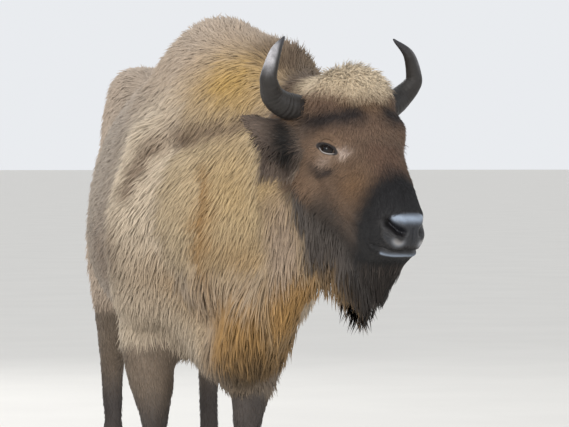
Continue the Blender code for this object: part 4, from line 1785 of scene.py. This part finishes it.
class TuftTree:
    """The geometry nodes that root tufts on a skin and lay them along its lie."""

    INPUTS = {
        "Geometry": "Geometry", "Tufts": "Collection", "Material": "Material", "Spacing": "Float",
        "Seed": "Int", "Wander": "Float", "Clump": "Float", "Splay": "Float", "Ruffle": "Float",
    }
    # How many points are tried on each square of the spacing's width; how wide a tuft is on the map.
    CROWDING = 1.6
    MAP_WIDTH = 0.003

    def __init__(self) -> None:
        """Builds the tree."""
        self.tree, self.graph, self.given, self.end = new_group(
            "tufts on a skin", "GeometryNodeTree", self.INPUTS, {"Geometry": "Geometry"})
        self.draw()

    def named(self, name: str, kind: str = "FLOAT") -> NodeSocket:
        """An attribute of the skin or of the points on it, of one of Blender's kinds."""
        return self.graph.add("GeometryNodeInputNamedAttribute", {"Name": name}, data_type=kind).outputs[0]

    def random(self, low: object, high: object, offset: int) -> NodeSocket:
        """A random number from low to high for each tuft, from a seed that is offset from the patch's."""
        inputs = {2: low, 3: high, 8: self.graph.sum("ADD", self.given["Seed"], offset)}
        return self.graph.add("FunctionNodeRandomValue", inputs, data_type="FLOAT").outputs[1]

    def without(self, mesh: NodeSocket, *names: str) -> NodeSocket:
        """Drops attributes that are no longer needed.

        Args:
            mesh: the geometry so far.
            names: the attributes.

        Returns:
            The geometry after it.
        """
        for name in names:
            mesh = self.graph.add("GeometryNodeRemoveAttribute", {"Geometry": mesh, "Name": name}).outputs[0]
        return mesh

    def draw(self) -> None:
        """Draws the tree from the skin to the finished mesh."""
        graph = self.graph
        points = self.roots()
        spin = self.direction()
        size = self.size()
        points = graph.add("GeometryNodeStoreNamedAttribute", {
            "Geometry": points, "Name": "tone", "Value": self.random(0.0, 1.0, 11)},
            data_type="FLOAT", domain="POINT")
        kinds = graph.add("GeometryNodeCollectionInfo", {
            "Collection": self.given["Tufts"], "Separate Children": True, "Reset Children": True})
        pick = graph.add("FunctionNodeRandomValue", {4: 0, 5: 40, 8: self.given["Seed"]}, data_type="INT")
        tufts = graph.add("GeometryNodeInstanceOnPoints", {
            "Points": points.outputs[0], "Instance": kinds.outputs[0], "Pick Instance": True,
            "Instance Index": pick.outputs[2], "Rotation": spin, "Scale": size}).outputs[0]
        tufts = self.without(tufts, "lie", "reach", "girth", "lift", "fullness")
        mesh = graph.add("GeometryNodeRealizeInstances", {"Geometry": tufts}).outputs[0]
        dressed = {"Geometry": self.charted(mesh), "Material": self.given["Material"]}
        mesh = graph.add("GeometryNodeSetMaterial", dressed).outputs[0]
        graph.fill(self.end, {"Geometry": mesh})

    def roots(self) -> NodeSocket:
        """Points spread evenly over the skin, fewer where the coat is thin.

        Returns:
            The points.
        """
        spacing = self.given["Spacing"]
        density = self.graph.sum("DIVIDE", self.CROWDING, self.graph.times(spacing, spacing))
        return self.graph.add("GeometryNodeDistributePointsOnFaces", {
            "Mesh": self.given["Geometry"], "Distance Min": spacing, "Density Max": density,
            "Density Factor": self.named("fullness"), "Seed": self.given["Seed"]},
            distribute_method="POISSON").outputs["Points"]

    def direction(self) -> NodeSocket:
        """Each tuft's turn: along the lie, astray in clumps, lifted at its root.

        Returns:
            The rotation.
        """
        graph, given = self.graph, self.given
        where = graph.add("GeometryNodeInputPosition").outputs[0]
        astray = graph.add("ShaderNodeTexNoise", {"Vector": where, "Scale": given["Clump"], "Detail": 1.5})
        astray = graph.vector("SUBTRACT", astray.outputs["Color"], (0.5, 0.5, 0.5))
        astray = graph.scaled(astray, graph.times(given["Wander"], 2.0))
        turn = graph.add("FunctionNodeAxesToRotation", {
            "Primary Axis": self.named("rise", "FLOAT_VECTOR"),
            "Secondary Axis": graph.vector("ADD", self.named("lie", "FLOAT_VECTOR"), astray)},
            primary_axis="Z", secondary_axis="X").outputs[0]
        low, high = graph.sum("SUBTRACT", 1.0, given["Ruffle"]), graph.sum("ADD", 1.0, given["Ruffle"])
        lift = graph.times(graph.times(self.named("lift"), -1.0), self.random(low, high, 21))
        splay = self.random(graph.times(given["Splay"], -1.0), given["Splay"], 31)
        angles = graph.combined(self.random(-0.5, 0.5, 41), lift, splay)
        local = graph.add("FunctionNodeEulerToRotation", {0: angles}).outputs[0]
        inputs = {"Rotation": turn, "Rotate By": local}
        return graph.add("FunctionNodeRotateRotation", inputs, rotation_space="LOCAL").outputs[0]

    def size(self) -> NodeSocket:
        """Each tuft's length, width and thickness.

        Returns:
            The scale.
        """
        length = self.graph.times(self.named("reach"), self.random(0.7, 1.25, 51))
        width = self.graph.times(self.named("girth"), self.random(0.7, 1.35, 61))
        return self.graph.combined(length, width, length)

    def charted(self, mesh: NodeSocket) -> NodeSocket:
        """Gives each tuft a small patch of the map, at its root's place on the skin's unwrap.

        Args:
            mesh: the tufts.

        Returns:
            The tufts with their map.
        """
        graph = self.graph
        inside = graph.vector("SUBTRACT", self.named("chart", "FLOAT_VECTOR"), (0.5, 0.5, 0.0))
        inside = graph.scaled(inside, self.MAP_WIDTH)
        place = graph.vector("ADD", self.named("root_place", "FLOAT_VECTOR"), inside)
        inputs = {"Geometry": mesh, "Name": "OFBake", "Value": place}
        node = graph.add("GeometryNodeStoreNamedAttribute", inputs, data_type="FLOAT2", domain="CORNER")
        return self.without(node.outputs[0], "chart", "root_place")

    def grow(self, ground: Object, values: dict) -> Mesh:
        """Runs the tree on a stretch of skin.

        Args:
            ground: the stretch of skin.
            values: the tree's inputs, by name.

        Returns:
            The tufts as one plain mesh.
        """
        modifier = ground.modifiers.new("tufts", "NODES")
        modifier.node_group = self.tree
        for item in self.tree.interface.items_tree:
            if item.in_out == "INPUT" and item.name in values:
                modifier[item.identifier] = values[item.name]
        mesh = evaluated(ground)
        ground.modifiers.remove(modifier)
        return mesh


@dataclass(frozen=True)
class Patch:
    """One piece of the coat: where it grows, and how its hair behaves."""

    name: str
    solids: tuple
    hair: Hair
    spacing: float
    slot: str = "coat"
    finish: str = ""
    side: int = 0
    wander: float = 0.45
    clump: float = 22.0
    splay: float = 0.22
    ruffle: float = 0.45


PATCHES = [
    *(Patch("coat_shoulder_" + name, ("shoulders",), Hair.SHORT, 0.0046, side=side)
      for name, side in SIDES.items()),
    *(Patch("coat_barrel_" + name, ("barrel",), Hair.SHORT, 0.0056, side=side, wander=0.35)
      for name, side in SIDES.items()),
    Patch("coat_rump", ("rump",), Hair.SHORT, 0.0062, wander=0.35),
    Patch("coat_neck", ("neck",), Hair.SHORT, 0.0033),
    Patch("coat_brisket", ("brisket",), Hair.LOCK, 0.0050, wander=0.20, splay=0.13, clump=14.0),
    Patch("coat_beard", ("beard",), Hair.LOCK, 0.0044, "beard_hair", wander=0.20, splay=0.14, clump=16.0),
    *(Patch("coat_face_" + name, ("head",), Hair.SHORT, 0.0026, "face_coat", side=side, wander=0.30,
            clump=30.0, ruffle=0.35) for name, side in SIDES.items()),
    Patch("coat_poll", ("poll",), Hair.WOOL, 0.00155, "face_coat", "wool", wander=0.7, clump=34.0,
          splay=0.5, ruffle=0.6),
    Patch("coat_ears", ("ear_left", "ear_right"), Hair.LOCK, 0.0037, "face_coat", wander=0.4, clump=40.0),
    Patch("coat_legs", ("leg_front_left", "leg_front_right", "leg_hind_left", "leg_hind_right"),
          Hair.SHORT, 0.0058, "leg_coat", wander=0.2, splay=0.15),
    Patch("coat_tail", ("tail", "tail_switch"), Hair.LOCK, 0.0056, "beard_hair", wander=0.15, splay=0.12),
]


@dataclass
class Coat:
    """All the hair on the skin."""

    skin: Skin
    seed: int = 7
    round_share: float = 0.80
    carried: tuple = ("coat_colour", "rise", "lie", "reach", "girth", "lift", "fullness")

    def build(self) -> list:
        """Grows each patch of the coat.

        Returns:
            The pieces of the coat.
        """
        self.tree = TuftTree()
        self.tufts = {hair: hair.collection() for hair in Hair}
        finishes = {
            "coat": FurFinish("winter coat"),
            "face_coat": FurFinish("face hair", root=0.66, spread=0.24),
            "wool": FurFinish("wool of the poll"),
            "leg_coat": FurFinish("leg hair", root=0.66, tip=1.08, spread=0.24),
            "beard_hair": FurFinish("long hair", root=0.60, tip=1.15, spread=0.36, roughness=0.6),
        }
        self.finishes = {name: finish.build() for name, finish in finishes.items()}
        self.read_skin()
        pieces = [self.grow(index, patch) for index, patch in enumerate(PATCHES)]
        for hair in Hair:
            for helper in list(self.tufts[hair].objects):
                bpy.data.objects.remove(helper)
            bpy.data.collections.remove(self.tufts[hair])
        return pieces

    def read_skin(self) -> None:
        """Reads the skin as triangles, and which patch each point belongs to."""
        mesh = self.skin.piece.data
        mesh.calc_loop_triangles()
        triangles = np.empty(len(mesh.loop_triangles) * 3, np.int32)
        mesh.loop_triangles.foreach_get("vertices", triangles)
        self.triangles = triangles.reshape(-1, 3)
        self.places = numbers(mesh.vertices, "co", 3)
        self.names = [*self.skin.share, "poll"]
        # Wool outweighs any solid's share, and the hair of the chin outweighs both.
        owned = np.column_stack([*self.skin.share.values(), 2.0 * (self.skin.wool(self.places) > 0.30)])
        place = self.skin.head.read(self.places)
        chin = (self.skin.below_chin(place) > 0.008) & (self.skin.share["head"] > 0.5)
        owned[chin, self.names.index("beard")] = 3.0
        self.owner = owned.argmax(1)
        self.side = np.sign(self.skin.trunk.sideways(self.places))

    def ground(self, patch: Patch) -> Object:
        """The stretch of skin a patch grows on, with an unwrap of its own.

        Args:
            patch: the patch.

        Returns:
            An object that shows it.
        """
        wanted = np.isin(self.owner, [self.names.index(name) for name in patch.solids])
        first = self.triangles[:, 0]
        chosen = wanted[first]
        if patch.side:
            chosen &= np.where(self.side[first] >= 0, 1, -1) == patch.side
        triangles = self.triangles[chosen]
        used, corners = np.unique(triangles, return_inverse=True)
        mesh = mesh_of(patch.name + " ground", self.places[used], corners.reshape(-1, 3).tolist())
        for name in self.carried:
            store(mesh, name, stored(self.skin.piece.data, name)[used])
        made = make_object(patch.name, mesh)
        self.unwrap(made)
        return made

    def unwrap(self, made: Object) -> None:
        """Unwraps a stretch of skin by its own shape, and keeps the map as each root's place.

        Args:
            made: the stretch of skin.
        """
        made.data.uv_layers.new(name="root_place")
        bpy.context.view_layer.objects.active = made
        made.select_set(True)
        bpy.ops.object.mode_set(mode="EDIT")
        bpy.ops.mesh.select_all(action="SELECT")
        bpy.ops.uv.smart_project(angle_limit=math.radians(66), island_margin=0.004)
        bpy.ops.object.mode_set(mode="OBJECT")
        made.select_set(False)

    def grow(self, index: int, patch: Patch) -> Object:
        """Grows one patch.

        Args:
            index: its number, which makes its seed.
            patch: what it is like.

        Returns:
            The patch's piece.
        """
        made = self.ground(patch)
        mesh = self.tree.grow(made, {
            "Tufts": self.tufts[patch.hair], "Material": self.finishes[patch.finish or patch.slot],
            "Spacing": patch.spacing, "Seed": self.seed + 100 * index, "Wander": patch.wander,
            "Clump": patch.clump, "Splay": patch.splay, "Ruffle": patch.ruffle})
        mesh.name = patch.name
        self.soften(mesh)
        made.data = mesh
        LOG.info("%s: %d triangles", patch.name, sum(len(face.vertices) - 2 for face in mesh.polygons))
        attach(made, BODY)
        return made

    def soften(self, mesh: Mesh) -> None:
        """Turns the tufts' normals part of the way to the skin's, so that light falls softly on them.

        Args:
            mesh: the tufts.
        """
        own = numbers(mesh.vertex_normals, "vector", 3)
        rise = mesh.attributes["rise"]
        skin = numbers(rise.data, "vector", 3)
        soft = unit(towards(own, self.round_share, skin))
        mesh.attributes.remove(rise)
        mesh.normals_split_custom_set_from_vertices(soft.astype(np.float32).tolist())


# Hard parts


def curve_through(rows: list, steps: int) -> Array:
    """A smooth curve through rows of numbers.

    Args:
        rows: the rows it goes through.
        steps: how many rows it makes of each stretch.

    Returns:
        The curve's rows.
    """
    rows = np.array(rows, float)
    rows = np.vstack([2 * rows[0] - rows[1], rows, 2 * rows[-1] - rows[-2]])
    made = []
    for before, start, end, after in zip(rows, rows[1:], rows[2:], rows[3:]):
        for t in np.arange(steps) / steps:
            bend = 2 * before - 5 * start + 4 * end - after
            swing = 3 * start - before - 3 * end + after
            made.append(start + 0.5 * ((end - before) * t + bend * t**2 + swing * t**3))
    made.append(rows[-2])
    return np.array(made)


def closed_rings(count: int, sides: int) -> list:
    """The faces of a closed form of rings, with a point for each end after them.

    Args:
        count: how many rings there are.
        sides: how many points each of them has.

    Returns:
        The faces.
    """
    faces, last = ring_faces(count, sides), count * sides
    for i in range(sides):
        j = (i + 1) % sides
        faces += [(j, i, last), (last - sides + i, last - sides + j, last + 1)]
    return faces


def shell(name: str, centres: Array, axes: tuple, sizes: Array, sides: int, square: float = 2.0) -> Mesh:
    """A closed form of rings, with how far along and around each point lies.

    Args:
        name: the mesh's name.
        centres: the rings' middles.
        axes: each ring's first axes, and each ring's second axes.
        sizes: each ring's half width, its reach above and its reach below.
        sides: how many points a ring has.
        square: 2 for round rings, and more for fuller corners.

    Returns:
        The mesh, with the attributes along and around.
    """
    turns = np.arange(sides) / sides
    x, y = np.cos(turns * FULL_TURN), np.sin(turns * FULL_TURN)
    x = np.sign(x) * np.abs(x) ** (2 / square)
    y = np.sign(y) * np.abs(y) ** (2 / square)
    places = []
    for centre, across, up, (wide, above, below) in zip(centres, *axes, sizes):
        places.append(centre + np.outer(x * wide, across) + np.outer(np.where(y > 0, above, below) * y, up))
    travelled = np.r_[0, np.cumsum(np.linalg.norm(np.diff(centres, axis=0), axis=1))]
    places = np.concatenate((*places, centres[:1], centres[-1:]))
    mesh = outward(mesh_of(name, places, closed_rings(len(centres), sides)))
    store(mesh, "along", np.r_[np.repeat(travelled / travelled[-1], sides), 0.0, 1.0])
    store(mesh, "around", np.r_[np.tile(turns, len(centres)), 0.0, 0.0])
    return mesh


def frames_along(centres: Array, upright: Array) -> tuple:
    """Across and up vectors for rings along a path.

    Args:
        centres: the rings' middles.
        upright: about where the second axis points.

    Returns:
        Each ring's first axis and second axis.
    """
    ahead = unit(np.gradient(centres, axis=0))
    across = unit(np.cross(ahead, upright))
    return across, np.cross(across, ahead)


@dataclass
class Eyeballs:
    """Both eyes, each with its cornea."""

    eyes: list
    cornea_rise: float = 0.0014
    cornea_radius: float = 0.013
    rings: int = 40
    sides: int = 64

    def build(self) -> list:
        """Makes both balls, and returns their pieces."""
        finish = EyeFinish().build()
        return [self.ball(eye, finish) for eye in self.eyes]

    def ball(self, eye: Eye, finish: Material) -> Object:
        """One eyeball, poled towards where it looks.

        Args:
            eye: the eye.
            finish: its material.

        Returns:
            Its piece.
        """
        polar = np.linspace(0.0, math.pi, self.rings + 1)[1:-1]
        turns = np.arange(self.sides) * FULL_TURN / self.sides
        flat = np.outer(np.sin(polar), np.cos(turns)), np.outer(np.sin(polar), np.sin(turns))
        rows = np.stack((*flat, np.outer(np.cos(polar), np.ones(self.sides))), axis=-1).reshape(-1, 3)
        local = np.vstack((rows, (0, 0, 1), (0, 0, -1)))
        rows = local * eye.RADIUS
        radius = np.hypot(local[:, 0], local[:, 1]) * eye.RADIUS
        rows[:, 2] += self.cornea_rise * ease(self.cornea_radius, 0.002, radius) * (rows[:, 2] > 0)
        mesh = outward(mesh_of(eye.node, eye.place(rows), closed_rings(len(polar), self.sides)))
        store(mesh, "eye_place", local)
        return placed("eyeball_" + eye.node.split("_")[1], mesh, finish, "eye", eye.node)


@dataclass
class Lashes:
    """The upper lids' lashes."""

    eyes: list
    count: int = 34
    length: float = 0.0135
    width: float = 0.0011
    seed: int = 3

    def build(self) -> Object:
        """Makes every lash as one piece.

        Returns:
            The lashes' piece.
        """
        blade = Tuft(((-0.08, 1.0), (0.5, 0.75)), 0.45, 0.0, 0.0, 0.05).mesh("lash")
        shape = numbers(blade.vertices, "co", 3)
        faces = [tuple(face.vertices) for face in blade.polygons]
        chance = np.random.default_rng(self.seed)
        places, lashes = [], []
        for eye in self.eyes:
            for along in np.linspace(-0.95, 0.80, self.count):
                lashes += [tuple(corner + len(places) * len(shape) for corner in face) for face in faces]
                places.append(self.lash(eye, shape, along, chance))
        mesh = outward(mesh_of("lashes", np.concatenate(places), lashes))
        total = len(mesh.vertices)
        store(mesh, "coat_colour", np.tile((*Tint.LID.linear, 1.0), (total, 1)))
        store(mesh, "along", np.tile(shape[:, 0], len(places)))
        store(mesh, "across", np.zeros(total))
        store(mesh, "tone", np.repeat(chance.random(len(places)), len(shape)))
        return placed("lashes", mesh, FurFinish("lash hair").build(), "face_coat")

    def lash(self, eye: Eye, shape: Array, along: float, chance: np.random.Generator) -> Array:
        """One lash's points, rooted on the lid's rim and fanning out from the eye.

        Args:
            eye: the eye.
            shape: the points of a blade.
            along: where on the rim it stands, from -1 to 1.
            chance: what its turn and length are drawn from.

        Returns:
            The lash's points.
        """
        flat = np.array((along * eye.SLIT_LONG, eye.half_height(along * eye.SLIT_LONG, True) + 0.0012))
        rise = math.sqrt(max(eye.RADIUS**2 - flat @ flat, 0.0)) if flat @ flat < eye.RADIUS**2 else 0.0
        ahead = unit(np.array((0.55 * along + 0.12 * chance.normal(), -0.05 + 0.10 * chance.normal(), 1.0)))
        across = unit(np.cross((0.0, 1.0, 0.0), ahead))
        above = np.cross(ahead, across)
        length = self.length * (1 - 0.45 * abs(along)) * chance.uniform(0.8, 1.15)
        scaled = shape * (length, self.width, length)
        return eye.place(np.array((*flat, rise + 0.0016)) + scaled @ np.array((ahead, across, above)))


@dataclass
class Horns:
    """Both horns: out, up, and in again at the tip, ringed towards the root."""

    head: HeadFrame
    ridges: int = 21
    ridge: float = 0.011
    sides: int = 36
    steps: int = 14

    # How far out, ahead and up each ring lies from the root, and its radius.
    ROWS = [(0.085, -0.056, -0.005, 0.0340), (0.115, -0.056, -0.002, 0.0365), (0.155, -0.056, 0.004, 0.0370),
            (0.192, -0.057, 0.014, 0.0355), (0.224, -0.055, 0.035, 0.0315), (0.247, -0.040, 0.064, 0.0258),
            (0.253, -0.034, 0.090, 0.0223), (0.233, -0.032, 0.150, 0.0155), (0.197, -0.045, 0.187, 0.0050),
            (0.189, -0.047, 0.194, 0.0012)]

    def build(self) -> list:
        """Makes both horns.

        Returns:
            Their pieces.
        """
        finish = KeratinFinish("horn", Tint.HORN_ROOT, Tint.HORN, Tint.HORN_PALE, Tint.HORN_TIP, 27.0, 0.36)
        material = finish.build()
        return [self.horn(name, side, material) for name, side in SIDES.items()]

    def horn(self, name: str, side: int, material: Material) -> Object:
        """One horn.

        Args:
            name: which side it is on.
            side: 1 for the left and -1 for the right.
            material: its finish.

        Returns:
            Its piece.
        """
        head, rows = self.head, curve_through(self.ROWS, self.steps)
        centres = head.place(0.05, -0.07) + np.outer(rows[:, 0] * side, head.left)
        centres = centres + np.outer(rows[:, 1], head.facing) + np.outer(rows[:, 2], UP)
        share = np.linspace(0, 1, len(rows))
        ridged = 1 + self.ridge * np.sin(share * FULL_TURN * self.ridges) * ease(0.60, 0.25, share)
        sizes = np.repeat((rows[:, 3] * ridged)[:, None], 3, axis=1)
        mesh = shell("horn_" + name, centres, frames_along(centres, head.facing), sizes, self.sides)
        outer = unit(0.9 * side * head.left + 0.35 * head.facing + 0.2 * UP)
        # Painted sheen: paler on the horn's outer face, which faces the light.
        top = ease(0.2, 0.9, numbers(mesh.vertex_normals, "vector", 3) @ outer)
        along = stored(mesh, "along")
        # The near, right horn takes the painted sheen in full, and the far one, more in shade, less.
        sheen_and_wear_share = 1.0 if side < 0 else 0.3
        store(mesh, "worn", top * ease(0.60, 0.76, along) * ease(1.0, 0.92, along) * sheen_and_wear_share)
        return placed("horn_sheath_" + name, mesh, material, "horn", "horn_" + name)


@dataclass
class Hooves:
    """Eight hooves and eight dewclaws, shaped inside the solid ones."""

    sides: int = 40
    steps: int = 10

    # How high each ring of a hoof lies, and its shares of the half width, of the toe and of the heel.
    CLAW = [(0.0, 0.90, 0.94, 0.90), (0.012, 0.97, 0.99, 0.97), (0.05, 1.0, 1.0, 1.0),
            (0.45, 0.93, 0.86, 0.95), (0.80, 0.82, 0.66, 0.86), (1.0, 0.62, 0.45, 0.66)]

    def build(self) -> list:
        """Makes every claw.

        Returns:
            Their pieces.
        """
        finish = KeratinFinish("hoof", Tint.HOOF, Tint.HOOF, Tint.HOOF_PALE, Tint.HOOF, 9.0, 0.5)
        material = finish.build()
        pieces = []
        for node in sorted(frame["nodes"]):
            if node.startswith("hoof"):
                pieces.append(placed("claw_" + node[5:], self.claw(node), material, "hoof", node))
            elif node.startswith("dewclaw"):
                pieces.append(placed("spur_" + node[8:], self.dewclaw(node), material, "hoof", node))
        return pieces

    def claw(self, node: str) -> Mesh:
        """One hoof: a flat sole with an eased edge, a sloping toe and an upright heel.

        Args:
            node: the solid hoof.

        Returns:
            The hoof.
        """
        low, high = (np.array(corner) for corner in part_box(node))
        half = (high - low) / 2
        mid = (high + low) / 2
        rows = curve_through(self.CLAW, self.steps)
        count = len(rows)
        heights = low[2] + rows[:, 0] * (high[2] - low[2])
        centres = np.column_stack((np.full(count, mid[0]), np.full(count, mid[1] + 0.1 * half[1]), heights))
        axes = np.tile((1.0, 0.0, 0.0), (count, 1)), np.tile((0.0, -1.0, 0.0), (count, 1))
        reaches = rows[:, 1] * half[0], rows[:, 2] * half[1] * 1.1, rows[:, 3] * half[1] * 0.9
        mesh = shell(node, centres, axes, np.column_stack(reaches), self.sides, 2.5)
        store(mesh, "worn", ease(0.30, 0.02, stored(mesh, "along")))
        return mesh

    def dewclaw(self, node: str) -> Mesh:
        """One dewclaw: a blunt, down-turned cone.

        Args:
            node: the solid dewclaw.

        Returns:
            The dewclaw.
        """
        low, high = (np.array(corner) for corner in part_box(node))
        wide = (high[0] - low[0]) / 2
        mid = (high + low) / 2
        rows = curve_through([
            (low[1] + wide, high[2] - wide, 0.90), (mid[1], mid[2] + 0.002, 0.95),
            (high[1] - wide, low[2] + 0.9 * wide, 0.72), (high[1] - 0.45 * wide, low[2] + 0.45 * wide, 0.36),
        ], self.steps)
        centres = np.column_stack((np.full(len(rows), mid[0]), rows[:, 0], rows[:, 1]))
        sizes = np.repeat((rows[:, 2] * wide)[:, None], 3, axis=1)
        axes = frames_along(centres, np.array((1.0, 0.0, 0.0)))
        mesh = shell(node, centres, axes, sizes, self.sides // 2)
        store(mesh, "worn", np.zeros(len(mesh.vertices)))
        return mesh


# The studio


@dataclass
class Studio:
    """Floor, backdrop light and camera."""

    trunk: Trunk
    floor_half: float = 200.0
    bearing: float = -10.0
    distance: float = 10.75
    aside: float = 0.2019
    eye_height: float = 1.149
    dip: float = 0.983
    lens: float = 234.1

    def build(self) -> None:
        """Makes floor, lights and camera."""
        low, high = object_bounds()
        self.middle = Vector(((low[0] + high[0]) / 2, (low[1] + high[1]) / 2, 0.0))
        corners = np.array(((-1.0, -1.0, 0.0), (1.0, -1.0, 0.0), (1.0, 1.0, 0.0), (-1.0, 1.0, 0.0)))
        mesh = mesh_of("floor", corners * self.floor_half, [(0, 1, 2, 3)])
        mesh.materials.append(FloorFinish().build())
        make_object("floor", mesh)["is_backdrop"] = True
        self.light("key", (-4.2, -7.8, 3.8), 4.5, 560.0, (1.0, 0.98, 0.95))
        self.light("top", (-0.3, -0.6, 7.5), 5.0, 40.0, (0.97, 0.98, 1.0))
        self.light("fill", (6.0, -5.5, 3.0), 4.0, 110.0, (0.95, 0.97, 1.0))
        self.light("back", (-2.0, 7.5, 4.0), 4.0, 120.0, (1.0, 1.0, 1.0))
        self.backdrop()
        self.camera()
        bpy.context.scene.view_settings.view_transform = "Standard"

    def light(self, name: str, place: tuple, size: float, power: float, colour: tuple) -> None:
        """One large, soft light aimed at the animal.

        Args:
            name: the light's name.
            place: where it stands.
            size: its width.
            power: its power in watts.
            colour: its colour.
        """
        data = bpy.data.lights.new(name, "AREA")
        data.shape = "DISK"
        data.size = size
        data.energy = power
        data.color = colour
        made = bpy.data.objects.new(name, data)
        made.location = place
        aim = self.middle + Vector((0, 0, 0.9)) - Vector(place)
        made.rotation_euler = aim.to_track_quat("-Z", "Y").to_euler()
        bpy.context.scene.collection.objects.link(made)

    def backdrop(self) -> None:
        """A pale, even surround."""
        world = bpy.data.worlds.new("studio")
        world.use_nodes = True
        surround = world.node_tree.nodes["Background"]
        surround.inputs["Color"].default_value = (0.86, 0.88, 0.91, 1.0)
        surround.inputs["Strength"].default_value = 0.95
        bpy.context.scene.world = world

    def camera(self) -> None:
        """The camera: nearly head on, at the height of the animal's eye, a long way off."""
        angle = math.radians(self.bearing)
        toward = Vector((math.sin(angle), -math.cos(angle), 0.0))
        right = Vector((math.cos(angle), math.sin(angle), 0.0))
        low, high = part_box("shoulders")
        hump = Vector((self.trunk.middle_x, high[1] - 0.22, 0.0))
        data = bpy.data.cameras.new("camera")
        data.sensor_width = 36.0
        data.lens = self.lens
        made = bpy.data.objects.new("camera", data)
        made.location = hump + toward * self.distance + right * self.aside + Vector((0, 0, self.eye_height))
        aim = -toward * math.cos(math.radians(self.dip)) - Vector((0, 0, math.sin(math.radians(self.dip))))
        made.rotation_euler = aim.to_track_quat("-Z", "Y").to_euler()
        bpy.context.scene.collection.objects.link(made)
        bpy.context.scene.camera = made


def dress_skin(skin: Skin) -> None:
    """Gives the skin its finish and puts it in place of the solids of flesh.

    Args:
        skin: the skin.
    """
    mesh = skin.piece.data
    mesh.materials.append(SkinFinish().build())
    mesh.shade_smooth()
    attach(skin.piece, BODY)
    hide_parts(*skin.flesh)


def main() -> None:
    """Builds the model's looks piece by piece, then the studio."""
    logging.basicConfig(level=logging.INFO, format="%(relativeCreated)8d ms  %(message)s")
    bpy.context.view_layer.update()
    head = HeadFrame.from_eyes()
    trunk = Trunk.from_solids(head)
    eyes = [Eye(side, head) for side in SIDES.values()]
    skin = Skin(head, trunk, Markings(head, trunk), eyes)
    skin.build()
    LOG.info("skin: %d points", len(skin.piece.data.vertices))
    coat = Coat(skin).build()
    LOG.info("coat: %d pieces", len(coat))
    dress_skin(skin)
    LOG.info("eyes: %d", len(Eyeballs(eyes).build()))
    Lashes(eyes).build()
    LOG.info("horns: %d", len(Horns(head).build()))
    LOG.info("claws: %d", len(Hooves().build()))
    Studio(trunk).build()


if __name__ == "__main__":
    main()
